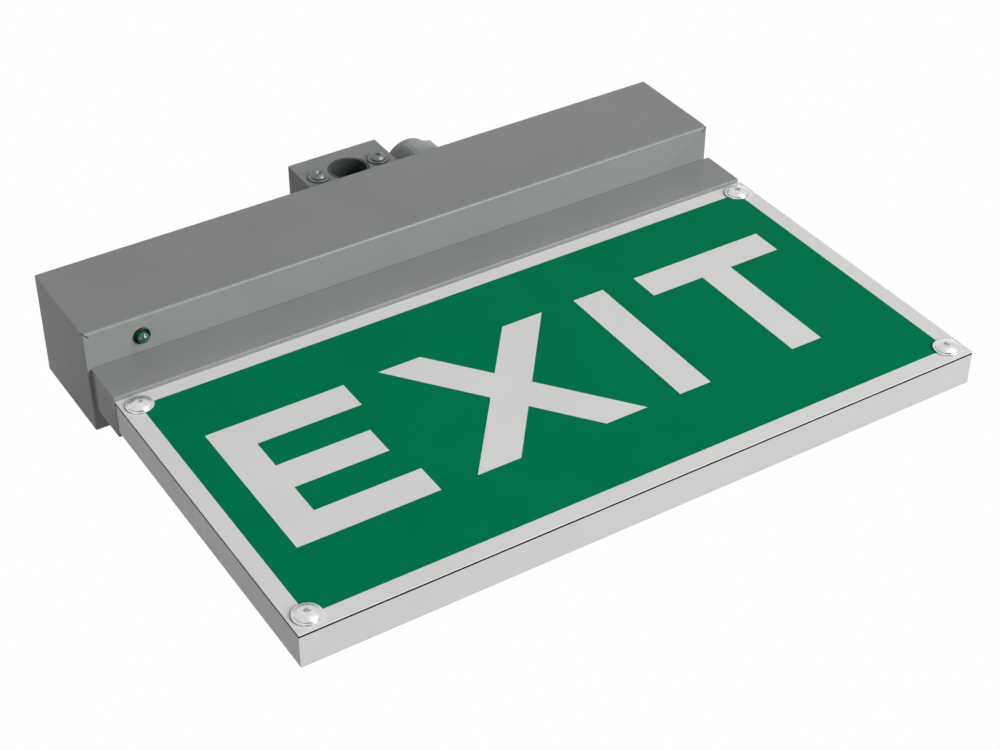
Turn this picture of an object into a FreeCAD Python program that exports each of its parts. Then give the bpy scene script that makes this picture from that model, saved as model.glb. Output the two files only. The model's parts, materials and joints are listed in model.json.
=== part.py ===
import FreeCAD, Part
import math
import os

from FreeCAD import Placement, Rotation, Vector

# Emergency exit light: a folded steel housing that carries an edge-lit sign plate.
# All sizes are in millimetres. X runs along the sign, Y points into the wall, Z points up.
# The origin lies on the wall face, on the sign's centre line, at half the housing's height.

# Housing, folded from steel sheet
HOUSING_INSET = 1.0
HOUSING_HEIGHT = 48.2
HOUSING_DEPTH = 46.5
HOUSING_SHIFT = -2.7
SHEET = 1.5
BEND_RADIUS = 2.3
CHASSIS_PLAY = 0.3
CHASSIS_FLANGE = 12.0
INNER_EDGE_GAP = 2.1

# Cover tabs and the screws that close the housing
TAB_WIDTH = 14.0
TAB_DEPTH = 12.0
TAB_LEG = 10.0
TAB_INSET = 21.5
INNER_TAB_SPACING = 130.0
INNER_TAB_SHIFT = 5.0
REAR_SCREW_INSET = 31.5
REAR_SCREW_SETBACK = 5.4
M3_RADIUS = 1.5
M3_FLATS = 5.5
M3_HEAD = 2.0
COVER_SCREW_LENGTH = 6.0
HOLE_PLAY = 0.2
HEAD_BEVEL_SHARE = 0.5
SMALL_SIDES = 6
ROUND_SIDES = 24

# Wall fixing
WALL_HOLE_RADIUS = 2.5
WALL_HOLE_INSET = 20.0
WALL_SPACING_Z = 24.0

# Sign plate
SIGN_WIDTH = 300.0
SIGN_HEIGHT = 150.0
FILM_SETBACK = 18.6
BORDER = 7.1
PANEL = 0.5
GASKET = 0.8
GASKET_OVERLAP = 1.5
DIFFUSER = 3.0
GUIDE = 8.0
REFLECTOR = 0.8
TRAY_BACK = 2.5
TRAY_WALL = 2.4
TRAY_EDGE_RADIUS = 1.0
PILLAR = 12.2
STACK_PLAY = 0.3

# Tongue of the light box, inside the holder
TONGUE_WALL = 2.0
TONGUE_PLAY = 0.3
TONGUE_END_DROP = 5.0
TONGUE_END_STEP = 1.2
TRAY_SCREW_RISE = 8.0
TRAY_SCREW_INSET = 4.4
TRAY_INSERT_RADIUS = 2.8
TRAY_INSERT_LENGTH = 7.0

# Sign holder, folded from the same sheet
HOLDER_INSET = 0.6
HOLDER_HEIGHT = 22.1
HOLDER_SHIFT = -0.9
HOLDER_LIP = 2.0
HOLDER_WALL_GAP = 0.4
HOLDER_TAB = 12.0
HOLDER_SCREW_SPACING = 8.0
HOLDER_SCREW_LENGTH = 6.5

# Screws at the corners of the sign
M5_RADIUS = 2.5
M5_HEAD_RADIUS = 5.0
M5_HEAD_HEIGHT = 3.3
SIGN_WASHER_RADIUS = 6.5
SIGN_WASHER = 0.8
SIGN_INSERT_RADIUS = 3.5
SIGN_INSERT_LENGTH = 9.0
SCREW_END_GAP = 1.0

# Light source over the upper edge of the light guide
LED_BOARD_LEFT_GAP = 16.3
LED_BOARD_RIGHT_GAP = 26.5
LED_BOARD_WIDTH = 10.0
LED_BOARD = 1.6
LED_COUNT = 14
LED_MARGIN = 10.0
LED_LENGTH = 5.6
LED_WIDTH = 3.0
LED_HEIGHT = 0.9
LED_SCREW_HEAD = 1.2
LED_SCREW_LENGTH = 4.5
LED_SCREW_STEPS = (1, 7, 12)
COUPLING_GAP = 0.8
LEAD_HOLE_RADIUS = 3.5
LEAD_HOLE_INSET = 20.0
GROMMET_BORE = 2.0
GROMMET_FLANGE = 1.2
GROMMET_GROOVE = 1.0

# Hanger block on top of the housing
BLOCK_WIDTH = 43.4
BLOCK_HEIGHT = 32.0
BLOCK_SETBACK = 7.7
BLOCK_BORE_RADIUS = 9.35
BLOCK_BORE_RISE = 16.3
BLOCK_SCREW_SPACING = 29.5
BUSH_PLAY = 0.05
BUSH_WALL = 1.3
M4_RADIUS = 2.0
M4_HEAD_RADIUS = 3.8
M4_HEAD_HEIGHT = 2.6
M4_FLATS = 7.0
M4_HEX_HEAD = 2.8
BLOCK_WASHER_RADIUS = 4.6
BLOCK_WASHER = 0.8
BLOCK_NUT = 3.0
BLOCK_NUT_SHANK = 2.7
BRACKET_SCREW_GRIP = 5.0

# Cable gland, size M20
GLAND_X = 37.0
GLAND_SETBACK = 23.0
GLAND_THREAD_RADIUS = 10.0
GLAND_BORE_RADIUS = 7.0
GLAND_HOLE_PLAY = 0.1
GLAND_WASHER = 1.5
GLAND_WASHER_RADIUS = 13.0
GLAND_BODY_FLATS = 27.0
GLAND_BODY_TURN = 30.0
GLAND_BODY_HEX = 5.5
GLAND_TUBE_RADIUS = 9.0
GLAND_TUBE = 18.5
GLAND_STUB = 9.0
GLAND_LOCKNUT_FLATS = 26.0
GLAND_LOCKNUT = 5.0
GLAND_CAP_FLATS = 24.6
GLAND_CAP_TURN = 45.0
GLAND_CAP_GAP = 1.5
GLAND_CAP_HEX_TOP = 26.0
GLAND_CAP_TOP = 29.6
GLAND_CAP_RADIUS = 12.0
GLAND_CAP_ROUNDING = 2.0
GLAND_CAP_MOUTH = 6.6
GLAND_SEAL_BORE = 6.0
GLAND_SEAL_LENGTH = 14.5

# Indicator lamp in the housing's underside
LAMP_INSET = 23.7
LAMP_SETBACK = 9.15
LAMP_RADIUS = 2.5
LAMP_FLANGE_RADIUS = 2.9
LAMP_FLANGE = 1.0
LAMP_STRAIGHT = 3.5
LAMP_DOME_STEPS = 2
LAMP_DOME_ANGLE = 75.0
LAMP_LEAD = 0.5
LAMP_LEAD_LENGTH = 6.0
LAMP_LEAD_SPACING = 2.54
BEZEL_RADIUS = 3.95
BEZEL_FLANGE_RADIUS = 4.4
BEZEL_FLANGE = 0.9
BEZEL_MOUTH_RADIUS = 3.7
BEZEL_MOUTH_DEPTH = 1.9
BEZEL_NUT_FLATS = 11.0
BEZEL_NUT = 2.4

# Battery pack: three cells in one sleeve
CELL_RADIUS = 11.0
CELL_LENGTH = 43.0
CELL_COUNT = 3
BATTERY_X = -49.5
CLIP_SHEET = 0.8
CLIP_WIDTH = 10.0
CLIP_SPACING = 86.0
CLIP_MOUTH = 15.0
CLIP_SIDES = 12
CLIP_SCREW_INSET = 3.0

# Driver board
BOARD_X = 88.0
BOARD_WIDTH = 60.0
BOARD = 1.6
STANDOFF = 6.0
STANDOFF_INSET = 4.0
BOARD_SCREW_LENGTH = 5.0
CORE_WIDTH = 22.0
CORE_HEIGHT = 18.0
CORE_DEPTH = 12.0
BOBBIN_WIDTH = 15.0
BOBBIN_DEPTH = 18.0
BOBBIN_ROUNDING = 3.0
CORE_X = 75.0
CAPACITOR_RADIUS = 5.0
CAPACITOR_LENGTH = 16.0
CAPACITOR_X = 95.0
CAPACITOR_SPACING = 12.0
RELAY_X = 105.5
RELAY_WIDTH = 10.0
RELAY_HEIGHT = 19.0
RELAY_DEPTH = 15.0
RELAY_ROUNDING = 0.8
HEADER_WIDTH = 11.0
HEADER_HEIGHT = 6.0
HEADER_DEPTH = 7.0
HEADER_WALL = 1.0
HEADER_PLACES = (74.0, 88.0, 102.0)
HEADER_RISE = 1.5

# Mains terminal block and protective earth stud
TERMINAL_X = 37.0
TERMINAL_RISE = 6.1
TERMINAL_PITCH = 8.0
TERMINAL_POLES = 3
TERMINAL_END = 3.0
TERMINAL_DEPTH = 16.0
TERMINAL_HEIGHT = 14.0
TERMINAL_STEP = 4.0
TERMINAL_WIRE_WIDTH = 4.4
TERMINAL_WIRE_DEPTH = 8.0
TERMINAL_WIRE_SETBACK = 7.0
TERMINAL_SCREW_RADIUS = 2.0
TERMINAL_SCREW_LENGTH = 4.0
TERMINAL_SCREW_SINK = 1.0
EARTH_X = -60.0
EARTH_RISE = 7.7
EARTH_STUD_LENGTH = 7.0
EARTH_NUT = 3.2
EARTH_WASHER_RADIUS = 3.6
EARTH_WASHER = 0.8

# Places that follow from the sizes
TOP = HOUSING_HEIGHT / 2
BOTTOM = -TOP
FRONT = -HOUSING_DEPTH
LEFT = HOUSING_SHIFT + HOUSING_INSET - SIGN_WIDTH / 2
RIGHT = HOUSING_SHIFT - HOUSING_INSET + SIGN_WIDTH / 2
LAMP_X = LEFT + LAMP_INSET
WALL_SPACING_X = SIGN_WIDTH - 2 * WALL_HOLE_INSET
BACK_PLATE = -SHEET
FLOOR = BOTTOM + SHEET
TWO_SHEETS = 2 * SHEET

FILM = FRONT + FILM_SETBACK
GASKET_FRONT = FILM + PANEL
RIM = GASKET_FRONT + GASKET
GUIDE_FRONT = RIM + DIFFUSER
GUIDE_BACK = GUIDE_FRONT + GUIDE
TRAY_FLOOR = GUIDE_BACK + REFLECTOR
TRAY_REAR = TRAY_FLOOR + TRAY_BACK
SIGN_TOP = BOTTOM - HOLDER_HEIGHT
SIGN_BOTTOM = SIGN_TOP - SIGN_HEIGHT
SCREW_X = SIGN_WIDTH / 2 - BORDER
NECK_HALF = SIGN_WIDTH / 2 - PILLAR

GUIDE_TOP = BOTTOM - LED_BOARD - LED_HEIGHT - COUPLING_GAP
GUIDE_MIDDLE = (GUIDE_FRONT + GUIDE_BACK) / 2
TONGUE_FRONT = GUIDE_FRONT - TONGUE_WALL
TONGUE_REAR = TRAY_REAR - TONGUE_PLAY
TONGUE_HALF = SIGN_WIDTH / 2 - HOLDER_INSET - SHEET - abs(HOLDER_SHIFT) - TONGUE_PLAY
TRAY_SCREW_X = TONGUE_HALF - TRAY_SCREW_INSET
TRAY_SCREW_Z = SIGN_TOP + TRAY_SCREW_RISE

HOLDER_LEFT = HOLDER_SHIFT + HOLDER_INSET - SIGN_WIDTH / 2
HOLDER_RIGHT = HOLDER_SHIFT - HOLDER_INSET + SIGN_WIDTH / 2
LED_BOARD_LEFT = HOLDER_LEFT + LED_BOARD_LEFT_GAP
LED_BOARD_RIGHT = HOLDER_RIGHT - LED_BOARD_RIGHT_GAP
LEAD_HOLE_X = HOLDER_RIGHT - LEAD_HOLE_INSET
HOLDER_FRONT = FILM - HOLDER_LIP
HOLDER_REAR = TRAY_REAR + SHEET

BLOCK_FRONT = FRONT + BLOCK_SETBACK
BLOCK_FOOT = TOP + SHEET
BLOCK_TOP = TOP + BLOCK_HEIGHT
BORE_Z = TOP + BLOCK_BORE_RISE

INNER_HEIGHT = HOUSING_HEIGHT - 2 * TWO_SHEETS - 2 * INNER_EDGE_GAP
CLIP_SCREW_SPACING = INNER_HEIGHT - 2 * CLIP_SCREW_INSET
HEADER_LOW = HEADER_RISE - INNER_HEIGHT / 2
HEADER_HIGH = HEADER_LOW + HEADER_HEIGHT
CORE_Z = (HEADER_HIGH + INNER_HEIGHT / 2) / 2
TERMINAL_LOW = BOTTOM + TERMINAL_RISE
TERMINAL_HIGH = TERMINAL_LOW + TERMINAL_HEIGHT
TERMINAL_WELL_Z = (TERMINAL_LOW + TERMINAL_HIGH - TERMINAL_STEP) / 2

OUTWARD = Vector(0, -1, 0)
INWARD = Vector(0, 1, 0)
UP = Vector(0, 0, 1)
DOWN = Vector(0, 0, -1)
TOUCH = 0.001


def block(x_span, y_span, z_span):
    """A box between two values on each axis."""
    sides = [span[1] - span[0] for span in (x_span, y_span, z_span)]
    return Part.makeBox(*sides, Vector(x_span[0], y_span[0], z_span[0]))


def around(centre, width):
    """The span of a given width about a centre."""
    return (centre - width / 2, centre + width / 2)


def rod(radius, start, axis, length):
    """A round bar from a start point along an axis."""
    return Part.makeCylinder(radius, length, start, axis)


def tube(outer, inner, start, axis, length):
    """A round bar with a bore right through."""
    return rod(outer, start, axis, length).cut(rod(inner, start, axis, length))


def ring(radius, sides, height, turn=0.0):
    """A closed outline with straight sides and its corners at the radius."""
    points = []
    for step in range(sides + 1):
        angle = math.radians(turn) + 2 * math.pi * (step % sides) / sides
        points.append(Vector(radius * math.cos(angle), radius * math.sin(angle), height))
    return Part.makePolygon(points)


def prism(radius, sides, start, axis, length, turn=0.0):
    """A bar with flat sides and its corners at the radius."""
    bar = Part.Face(ring(radius, sides, 0, turn)).extrude(Vector(0, 0, length))
    bar.Placement = Placement(start, Rotation(UP, axis))
    return bar


def many_sided(radius, start, axis, length):
    """A round bar drawn with flat sides, for small or hidden round pieces."""
    return prism(radius, ROUND_SIDES, start, axis, length)


def tapered(first, last, start, axis, length):
    """A cone drawn with flat sides, from one radius to another."""
    cone = Part.makeLoft([ring(first, ROUND_SIDES, 0), ring(last, ROUND_SIDES, length)], True, True)
    cone.Placement = Placement(start, Rotation(UP, axis))
    return cone


def hexagon(flats, start, axis, length, turn=0.0):
    """A six-sided bar, with the width across its flats."""
    return prism(flats / math.sqrt(3), 6, start, axis, length, turn)


def pin(radius, start, axis, length):
    """A slim bar with a few flat sides, for small fasteners and the holes they fill."""
    return prism(radius, SMALL_SIDES, start, axis, length)


def turned(profile, start, axis):
    """A solid of revolution from (radius, height) points, placed along an axis."""
    points = [Vector(radius, 0, height) for radius, height in profile]
    face = Part.Face(Part.makePolygon(points + points[:1]))
    solid = face.revolve(Vector(0, 0, 0), UP, 360)
    solid.Placement = Placement(start, Rotation(UP, axis))
    return solid


def pan_screw(radius, head_radius, head_height, length, seat, axis):
    """A domed screw: its head points along the axis, its shank the other way."""
    head = many_sided(head_radius, Vector(0, 0, 0), UP, head_height)
    rim = [edge for edge in head.Edges if level(edge.BoundBox.ZMin, edge.BoundBox.ZMax, head_height)]
    head = head.makeChamfer(head_height * HEAD_BEVEL_SHARE, rim)
    head.Placement = Placement(seat, Rotation(UP, axis))
    return head.fuse(pin(radius, seat, -axis, length)).removeSplitter()


def hex_screw(radius, flats, head, length, seat, axis):
    """A hexagon-headed screw, for places out of sight."""
    return hexagon(flats, seat, axis, head).fuse(pin(radius, seat, -axis, length)).removeSplitter()


def rounded(shape, radius, test):
    """Rounds every edge whose bounding box passes the test."""
    edges = [edge for edge in shape.Edges if test(edge.BoundBox)]
    return shape.makeFillet(radius, edges)


def level(low, high, value):
    """True where an edge stays at one value on an axis."""
    return abs(low - value) < TOUCH and abs(high - value) < TOUCH


def along_y(box):
    """True for an edge that runs only along Y."""
    return box.XLength < TOUCH and box.ZLength < TOUCH


def cut_all(shape, tools):
    """Cuts every tool from the shape."""
    return shape.cut(Part.makeCompound(tools)).removeSplitter()


def save(name, solids):
    """Writes one piece, or a group of like pieces, to its file."""
    Part.makeCompound(solids).exportStep("parts/" + name + ".step")


def folded_pan(x_span, y_span, z_span, open_rear):
    """A pan folded up from sheet: a floor with walls, open at the top."""

    def bends(box, y_rear, z_floor):
        low = level(box.ZMin, box.ZMax, z_floor)
        return low and not (open_rear and box.YMin > y_rear - TOUCH)

    outer = block(x_span, y_span, z_span)
    outer = rounded(outer, BEND_RADIUS, lambda box: bends(box, y_span[1], z_span[0]))
    inner_x = (x_span[0] + SHEET, x_span[1] - SHEET)
    inner_y = (y_span[0] + SHEET, y_span[1] + (SHEET if open_rear else -SHEET))
    inner_z = (z_span[0] + SHEET, z_span[1] + SHEET)
    inner = block(inner_x, inner_y, inner_z)
    inner = rounded(inner, BEND_RADIUS - SHEET, lambda box: bends(box, inner_y[1], inner_z[0]))
    return outer.cut(inner)


def tab_places():
    """Centres of the cover's four tabs along the housing."""
    return (LEFT + TAB_INSET, *around(INNER_TAB_SHIFT, INNER_TAB_SPACING), RIGHT - TAB_INSET)


def tab_screw_points():
    """Seats of the screws on the top plate, over the cover's tabs."""
    y = FRONT + SHEET + TAB_DEPTH / 2 + CHASSIS_PLAY
    return [Vector(x, y, TOP) for x in tab_places()]


def rear_screw_points():
    """Seats of the screws under the housing, behind the holder."""
    places = (LEFT + REAR_SCREW_INSET, 0, RIGHT - REAR_SCREW_INSET)
    return [Vector(x, -REAR_SCREW_SETBACK, BOTTOM) for x in places]


def holder_screw_points():
    """Seats of the holder's screws on the housing's floor, two at each end."""
    ends = (HOLDER_LEFT + SHEET + HOLDER_TAB / 2, HOLDER_RIGHT - SHEET - HOLDER_TAB / 2)
    middle = (HOLDER_FRONT + HOLDER_REAR) / 2
    return [Vector(x, y, FLOOR) for x in ends for y in around(middle, HOLDER_SCREW_SPACING)]


def led_points():
    """Centres of the light sources, evenly along their board."""
    first = LED_BOARD_LEFT + LED_MARGIN
    pitch = (LED_BOARD_RIGHT - LED_MARGIN - first) / (LED_COUNT - 1)
    return [Vector(first + pitch * step, GUIDE_MIDDLE, BOTTOM - LED_BOARD) for step in range(LED_COUNT)]


def led_screw_points():
    """Seats of the LED board's screws, half way between two light sources."""
    leds = led_points()
    return [(leds[gap] + leds[gap + 1]) * 0.5 for gap in LED_SCREW_STEPS]


def sign_screw_points():
    """Centres of the four corner screws, on the panel's face."""
    rows = (SIGN_TOP - BORDER, SIGN_BOTTOM + BORDER)
    return [Vector(x, FILM, z) for z in rows for x in (-SCREW_X, SCREW_X)]


def tray_screw_points():
    """Seats of the two screws that hold the light box, on the holder's rear wall."""
    return [Vector(x, HOLDER_REAR, TRAY_SCREW_Z) for x in (-TRAY_SCREW_X, TRAY_SCREW_X)]


def block_screw_points():
    """Centres of the hanger block's screws on its front face."""
    return [Vector(x, BLOCK_FRONT, BORE_Z) for x in around(0, BLOCK_SCREW_SPACING)]


def bracket_screw_points():
    """Seats of the hanger bracket's screws, under the top plate."""
    y = (BLOCK_FRONT + BACK_PLATE) / 2
    return [Vector(x, y, TOP - SHEET) for x in around(0, BLOCK_SCREW_SPACING)]


def board_corner_points():
    """Centres of the driver board's standoffs on the back plate."""
    xs = around(BOARD_X, BOARD_WIDTH - 2 * STANDOFF_INSET)
    zs = around(0, INNER_HEIGHT - 2 * STANDOFF_INSET)
    return [Vector(x, BACK_PLATE, z) for x in xs for z in zs]


def clip_centres():
    """Where the two battery clips stand along the pack."""
    return around(BATTERY_X, CLIP_SPACING)


def clip_screw_points():
    """Seats of the clips' screws, above and below the pack."""
    y = BACK_PLATE - CLIP_SHEET
    return [Vector(x, y, z) for x in clip_centres() for z in around(0, CLIP_SCREW_SPACING)]


def earth_point():
    """Foot of the earth stud on the back plate."""
    return Vector(EARTH_X, BACK_PLATE, BOTTOM + EARTH_RISE)


def gland_point(height):
    """A point on the gland's axis, at a height above the housing's top."""
    return Vector(GLAND_X, FRONT + GLAND_SETBACK, TOP + height)


def lamp_point(height):
    """A point on the lamp's axis, at a height above the housing's underside."""
    return Vector(LAMP_X, FRONT + LAMP_SETBACK, BOTTOM + height)


def lead_point(height):
    """A point on the axis of the lead hole, at a height above the housing's underside."""
    return Vector(LEAD_HOLE_X, GUIDE_MIDDLE, BOTTOM + height)


def cover_tab(centre):
    """An angle welded inside the front wall, for one closing screw."""
    under = TOP - SHEET
    wall = FRONT + SHEET
    shelf = block(around(centre, TAB_WIDTH), (wall, wall + TAB_DEPTH), (under - SHEET, under))
    leg = block(around(centre, TAB_WIDTH), (wall, wall + SHEET), (under - TAB_LEG, under))
    return shelf.fuse(leg)


def housing_cover():
    """Front, underside and ends in one folded sheet, with a relief at each front corner."""
    cover = folded_pan((LEFT, RIGHT), (FRONT, 0), (BOTTOM, TOP), True)
    for centre in tab_places():
        cover = cover.fuse(cover_tab(centre))
    reliefs = []
    for x_span in ((LEFT, LEFT + BEND_RADIUS), (RIGHT - BEND_RADIUS, RIGHT)):
        reliefs.append(block(x_span, (FRONT, FRONT + BEND_RADIUS), (BOTTOM, BOTTOM + BEND_RADIUS)))
    holes = [pin(M3_RADIUS, point, DOWN, TWO_SHEETS) for point in tab_screw_points()]
    holes += [pin(M3_RADIUS + HOLE_PLAY, point, UP, SHEET) for point in rear_screw_points()]
    holes += [pin(M3_RADIUS + HOLE_PLAY, point, DOWN, SHEET) for point in holder_screw_points()]
    holes += [pin(M3_RADIUS, point, UP, LED_BOARD + SHEET) for point in led_screw_points()]
    holes.append(many_sided(BEZEL_RADIUS, lamp_point(0), UP, SHEET))
    holes.append(many_sided(LEAD_HOLE_RADIUS, lead_point(0), UP, SHEET))
    return cut_all(cover, reliefs + holes)


def outer_bend(box):
    """Picks the two outside corners of the chassis section."""
    rear = level(box.YMin, box.YMax, 0)
    return rear and (level(box.ZMin, box.ZMax, TOP) or level(box.ZMin, box.ZMax, FLOOR))


def inner_bend(box):
    """Picks the two inside corners of the chassis section."""
    rear = level(box.YMin, box.YMax, BACK_PLATE)
    under_top = level(box.ZMin, box.ZMax, TOP - SHEET)
    return rear and (under_top or level(box.ZMin, box.ZMax, FLOOR + SHEET))


def chassis_channel(x_span):
    """Back plate, top plate and lower flange, with their bends."""
    back = block(x_span, (BACK_PLATE, 0), (FLOOR, TOP))
    top = block(x_span, (FRONT + SHEET + CHASSIS_PLAY, 0), (TOP - SHEET, TOP))
    flange = block(x_span, (-CHASSIS_FLANGE, 0), (FLOOR, FLOOR + SHEET))
    channel = back.fuse([top, flange]).removeSplitter()
    channel = rounded(channel, BEND_RADIUS, outer_bend)
    return rounded(channel, BEND_RADIUS - SHEET, inner_bend)


def chassis_corner_cuts(x_span):
    """The flange's ends, cut clear of the cover's bends."""
    corners = ((x_span[0], x_span[0] + BEND_RADIUS), (x_span[1] - BEND_RADIUS, x_span[1]))
    return [block(corner, (-CHASSIS_FLANGE, 0), (FLOOR, FLOOR + BEND_RADIUS)) for corner in corners]


def back_plate_hole(point, radius):
    """The tool for a small tapped hole through the back plate."""
    return pin(radius, Vector(point.x, 0, point.z), OUTWARD, SHEET)


def chassis_holes():
    """The tools for every hole in the chassis."""
    holes = [pin(M3_RADIUS + HOLE_PLAY, point, DOWN, SHEET) for point in tab_screw_points()]
    holes += [pin(M3_RADIUS, point, UP, TWO_SHEETS) for point in rear_screw_points()]
    holes += [pin(M4_RADIUS + HOLE_PLAY, point, UP, SHEET) for point in bracket_screw_points()]
    holes.append(many_sided(GLAND_THREAD_RADIUS + GLAND_HOLE_PLAY, gland_point(0), DOWN, SHEET))
    holes.append(back_plate_hole(earth_point(), M4_RADIUS))
    for point in board_corner_points() + clip_screw_points():
        holes.append(back_plate_hole(point, M3_RADIUS))
    for x in around(0, WALL_SPACING_X):
        for z in around(0, WALL_SPACING_Z):
            holes.append(rod(WALL_HOLE_RADIUS, Vector(x, 0, z), OUTWARD, SHEET))
    return holes


def chassis():
    """Back plate, top plate and lower flange, folded in one sheet."""
    x_span = (LEFT + SHEET + CHASSIS_PLAY, RIGHT - SHEET - CHASSIS_PLAY)
    return cut_all(chassis_channel(x_span), chassis_corner_cuts(x_span) + chassis_holes())


def cover_screws():
    """Four screws on the top plate and three under the housing."""
    sizes = (M3_RADIUS, M3_FLATS, M3_HEAD, COVER_SCREW_LENGTH)
    screws = [hex_screw(*sizes, point, UP) for point in tab_screw_points()]
    return screws + [hex_screw(*sizes, point, DOWN) for point in rear_screw_points()]


def sign_holder():
    """Folded channel, hung by its end tabs, with a slot for the light box's tongue."""
    y_span = (HOLDER_FRONT, HOLDER_REAR)
    z_span = (SIGN_TOP, BOTTOM - HOLDER_WALL_GAP)
    holder = folded_pan((HOLDER_LEFT, HOLDER_RIGHT), y_span, z_span, False)
    inner_y = (HOLDER_FRONT + SHEET, TRAY_REAR)
    left_tab = (HOLDER_LEFT + SHEET, HOLDER_LEFT + SHEET + HOLDER_TAB)
    right_tab = (HOLDER_RIGHT - SHEET - HOLDER_TAB, HOLDER_RIGHT - SHEET)
    for x_span in (left_tab, right_tab):
        holder = holder.fuse(block(x_span, inner_y, (BOTTOM - SHEET, BOTTOM)))
    slot_x = (-TONGUE_HALF - TONGUE_PLAY, TONGUE_HALF + TONGUE_PLAY)
    slot_y = (TONGUE_FRONT - TONGUE_PLAY, TRAY_REAR)
    cuts = [block(slot_x, slot_y, (SIGN_TOP, SIGN_TOP + BEND_RADIUS))]
    cuts += [pin(M3_RADIUS, point, DOWN, TWO_SHEETS) for point in holder_screw_points()]
    cuts += [pin(M4_RADIUS + HOLE_PLAY, point, OUTWARD, SHEET) for point in tray_screw_points()]
    return cut_all(holder, cuts)


def holder_screws():
    """Four screws from the housing's floor into the holder's end tabs."""
    sizes = (M3_RADIUS, M3_FLATS, M3_HEAD, HOLDER_SCREW_LENGTH)
    return [hex_screw(*sizes, point, UP) for point in holder_screw_points()]


def led_board():
    """Metal-backed strip under the housing's floor, inside the holder."""
    x_span = (LED_BOARD_LEFT, LED_BOARD_RIGHT)
    strip = block(x_span, around(GUIDE_MIDDLE, LED_BOARD_WIDTH), (BOTTOM - LED_BOARD, BOTTOM))
    return cut_all(strip, [pin(M3_RADIUS, point, UP, LED_BOARD) for point in led_screw_points()])


def led_packages():
    """The light sources, facing down at the light guide's upper edge."""
    packages = []
    for point in led_points():
        spans = (around(point.x, LED_LENGTH), around(point.y, LED_WIDTH))
        packages.append(block(*spans, (point.z - LED_HEIGHT, point.z)))
    return packages


def led_board_screws():
    """Low screws that press the LED board to the housing's floor."""
    sizes = (M3_RADIUS, M3_FLATS, LED_SCREW_HEAD, LED_SCREW_LENGTH)
    return [hex_screw(*sizes, point, DOWN) for point in led_screw_points()]


def wire_grommet():
    """Rubber ring with a flange on each side of the housing's floor."""
    flange = LEAD_HOLE_RADIUS + GROMMET_GROOVE
    grommet = many_sided(LEAD_HOLE_RADIUS, lead_point(0), UP, SHEET)
    grommet = grommet.fuse(many_sided(flange, lead_point(0), DOWN, GROMMET_FLANGE))
    grommet = grommet.fuse(many_sided(flange, lead_point(SHEET), UP, GROMMET_FLANGE))
    bore_length = SHEET + 2 * GROMMET_FLANGE
    return grommet.cut(many_sided(GROMMET_BORE, lead_point(-GROMMET_FLANGE), UP, bore_length))


def corner_boxes(y_span, size):
    """A square block in each corner of the sign, measured from its outer edges."""
    xs = ((-SIGN_WIDTH / 2, -SIGN_WIDTH / 2 + size), (SIGN_WIDTH / 2 - size, SIGN_WIDTH / 2))
    zs = ((SIGN_BOTTOM, SIGN_BOTTOM + size), (SIGN_TOP - size, SIGN_TOP))
    return [block(x_span, y_span, z_span) for x_span in xs for z_span in zs]


def inner_plate(y_span, play):
    """A plate that fills the light box between its walls and corner pillars."""
    inset = TRAY_WALL + play
    x_span = around(0, SIGN_WIDTH - 2 * inset)
    plate = block(x_span, y_span, (SIGN_BOTTOM + inset, SIGN_TOP - inset))
    return plate.cut(Part.makeCompound(corner_boxes(y_span, PILLAR + play)))


def sign_tray():
    """White light box: back, rim, corner pillars and a hollow tongue upwards."""
    shell = block(around(0, SIGN_WIDTH), (RIM, TRAY_REAR), (SIGN_BOTTOM, SIGN_TOP))
    shell = rounded(shell, TRAY_EDGE_RADIUS, lambda box: level(box.YMin, box.YMax, TRAY_REAR))
    tongue = block(around(0, 2 * TONGUE_HALF), (TONGUE_FRONT, TONGUE_REAR), (SIGN_TOP, GUIDE_TOP))
    tray = shell.fuse(tongue)
    passage_z = (SIGN_TOP - TRAY_WALL - TOUCH, GUIDE_TOP)
    cuts = [inner_plate((RIM, TRAY_FLOOR), 0)]
    cuts.append(block(around(0, 2 * NECK_HALF), (GUIDE_FRONT, TRAY_FLOOR), passage_z))
    step = NECK_HALF + TONGUE_END_STEP
    for x_span in ((-TONGUE_HALF, -step), (step, TONGUE_HALF)):
        cuts.append(block(x_span, (TONGUE_FRONT, TONGUE_REAR), (GUIDE_TOP - TONGUE_END_DROP, GUIDE_TOP)))
    for point in sign_screw_points():
        start = Vector(point.x, RIM, point.z)
        cuts.append(pin(SIGN_INSERT_RADIUS, start, INWARD, SIGN_INSERT_LENGTH))
    for point in tray_screw_points():
        start = Vector(point.x, TONGUE_REAR, point.z)
        cuts.append(pin(TRAY_INSERT_RADIUS, start, OUTWARD, TRAY_INSERT_LENGTH))
    return cut_all(tray, cuts)


def with_neck(plate, y_span, play):
    """Joins a plate to a neck that reaches up through the tongue."""
    neck = block(around(0, 2 * (NECK_HALF - play)), y_span, (SIGN_TOP - PILLAR, GUIDE_TOP))
    return plate.fuse(neck).removeSplitter()


def reflector_sheet():
    """White sheet behind the light guide."""
    y_span = (GUIDE_BACK, TRAY_FLOOR)
    return with_neck(inner_plate(y_span, STACK_PLAY), y_span, STACK_PLAY)


def light_guide():
    """Clear plate that takes the light in at its upper edge."""
    y_span = (GUIDE_FRONT, GUIDE_BACK)
    return with_neck(inner_plate(y_span, STACK_PLAY), y_span, STACK_PLAY)


def diffuser_plate():
    """Opal plate in front of the light guide, level with the rim."""
    return inner_plate((RIM, GUIDE_FRONT), STACK_PLAY)


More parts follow.
